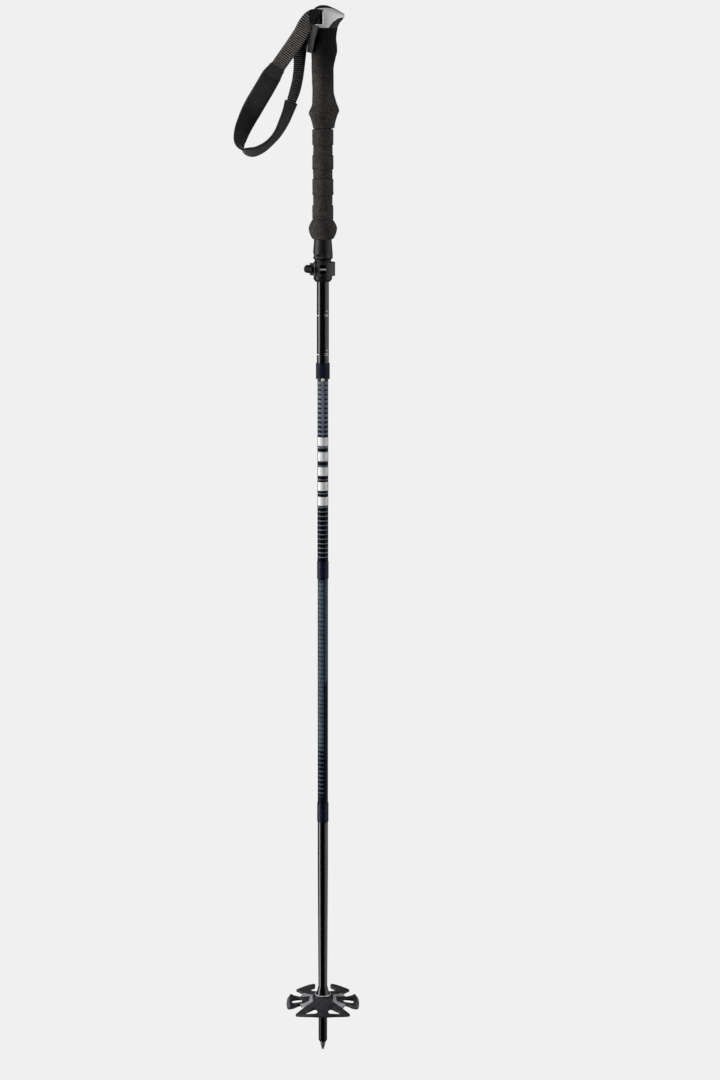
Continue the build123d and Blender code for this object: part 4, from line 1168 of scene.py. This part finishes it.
def wrap(point, radius, turn, height):
    """A flat point laid on the shaft: X runs round it from turn degrees, Y up from height."""
    angle = radians(turn) + point[0] / radius
    return (radius * sin(angle), -radius * cos(angle), height + point[1])


def mark(name, shapes, radius, turn, height, slot):
    """Printed marks on the shaft, from flat outlines."""
    points, faces = [], []
    for shape in shapes:
        faces.append(tuple(range(len(points), len(points) + len(shape))))
        points += [wrap(place, radius + INK, turn, height) for place in shape]
    piece_from(name, points, faces, [WHITE_INK], "shaft", slot)


def quad_strip(x0, x1, y0, y1, parts):
    """A rectangle as narrow outlines, so that it bends round the shaft."""
    shapes = []
    for n in range(parts):
        a, b = x0 + (x1 - x0) * n / parts, x0 + (x1 - x0) * (n + 1) / parts
        shapes.append([(a, y0), (b, y0), (b, y1), (a, y1)])
    return shapes


def numerals(text, radius, turn, height):
    """A number printed across the shaft."""
    name = f"length_{text}"
    curve = bpy.data.curves.new(name, "FONT")
    curve.body = text
    curve.size = 4.4
    curve.align_x = curve.align_y = "CENTER"
    curve.resolution_u = 3
    curve.offset = 0.08
    writing = add(name, curve)
    flat = bpy.data.meshes.new_from_object(writing.evaluated_get(bpy.context.evaluated_depsgraph_get()))
    bpy.data.objects.remove(writing)
    points = [wrap(v.co, radius + INK, turn, height) for v in flat.vertices]
    faces = [tuple(p.vertices) for p in flat.polygons]
    piece_from(name, points, faces, [WHITE_INK], "shaft", "black_tube")


def shaft_marks():
    """The length marks and the plain bars."""
    radius = (high("upper_shaft", 0) - low("upper_shaft", 0)) / 2
    for text, height in (("130", 963.9), ("125", 914.9)):
        numerals(text, radius, 38, height)
        shapes = quad_strip(-0.4, 1.2, 4.6, 6.1, 3)
        shapes += quad_strip(-radius * 1.9, -radius * 1.4, -0.5, 0.5, 6)
        mark(f"length_tick_{text}", shapes, radius, 38, height, "black_tube")
    radius = (high("section_2_tube", 0) - low("section_2_tube", 0)) / 2
    bars, pitch, tall, lowest = [], 19, 11, 723.3
    for n in range(5):
        bars += quad_strip(-7.6, 7.6, pitch * n, pitch * n + tall, 16)
    mark("plain_bars", bars, radius, 0, lowest, "slate_tube")


shaft_marks()


# ---- camera, light and floor
def camera():
    """The photograph's view: from high up the pole, looking slightly down."""
    data = bpy.data.cameras.new("camera")
    data.lens = 78
    data.sensor_width = 36
    data.shift_x, data.shift_y = 0.0344, -0.10
    data.clip_end = 100
    made = add("camera", data)
    made.location = (0, -2.913, 1.2485)
    made.rotation_euler = (radians(81.562), 0, 0)
    SCENE.camera = made


def soft_box(name, place, target, width, height, radiance):
    """A rectangular studio light that faces a target."""
    data = bpy.data.lights.new(name, "AREA")
    data.shape = "RECTANGLE"
    data.size, data.size_y = width, height
    data.energy = radiance * pi * width * height
    made = add(name, data)
    made.location = place
    made.rotation_euler = (Vector(target) - Vector(place)).to_track_quat("-Z", "Y").to_euler()


FLOOR = -0.055  # m; clears the tip where a pose makes the pole 50 mm longer


def studio():
    """A pale floor, a background of its colour, and soft boxes round the pole."""
    paper = Shader("studio_paper", shine=0, Roughness=0.95, Emission_Strength=1)
    tone = paper.spread(paper.noise(300, 2), 0.3, 0.7, 0.9, 1)
    paper.set("Base Color", paper.mix(tone, (8, 8, 8), (12, 12, 12)))
    paper.set("Emission Color", paper.mix(tone, (239, 239, 239), (240, 240, 240)))
    mesh = bpy.data.meshes.new("studio_floor")
    mesh.from_pydata(circle(30, FLOOR, 64), [], [tuple(range(64))])
    mesh.materials.append(paper.material)
    floor = add("studio_floor", mesh)
    floor.visible_glossy = floor.visible_diffuse = floor.visible_shadow = False
    world = bpy.data.worlds.new("studio")
    world.use_nodes = True
    world.node_tree.nodes["Background"].inputs["Color"].default_value = srgb(240, 240, 240)
    world.cycles_visibility.diffuse = world.cycles_visibility.glossy = False
    SCENE.world = world
    soft_box("left_box", (-2, -0.35, 0.6), (0, 0, 0.6), 1, 4, 6)
    soft_box("right_box", (2, -0.2, 0.6), (0, 0, 0.6), 3.2, 4, 1.2)
    soft_box("upper_left_box", (-1.6, -1.6, 3), (0, 0, 0.9), 1.4, 1.2, 4)
    soft_box("upper_right_box", (1.2, -1.2, 3.2), (0, 0, 0.9), 1, 1, 1)
    SCENE.view_settings.view_transform = "Standard"


camera()
studio()
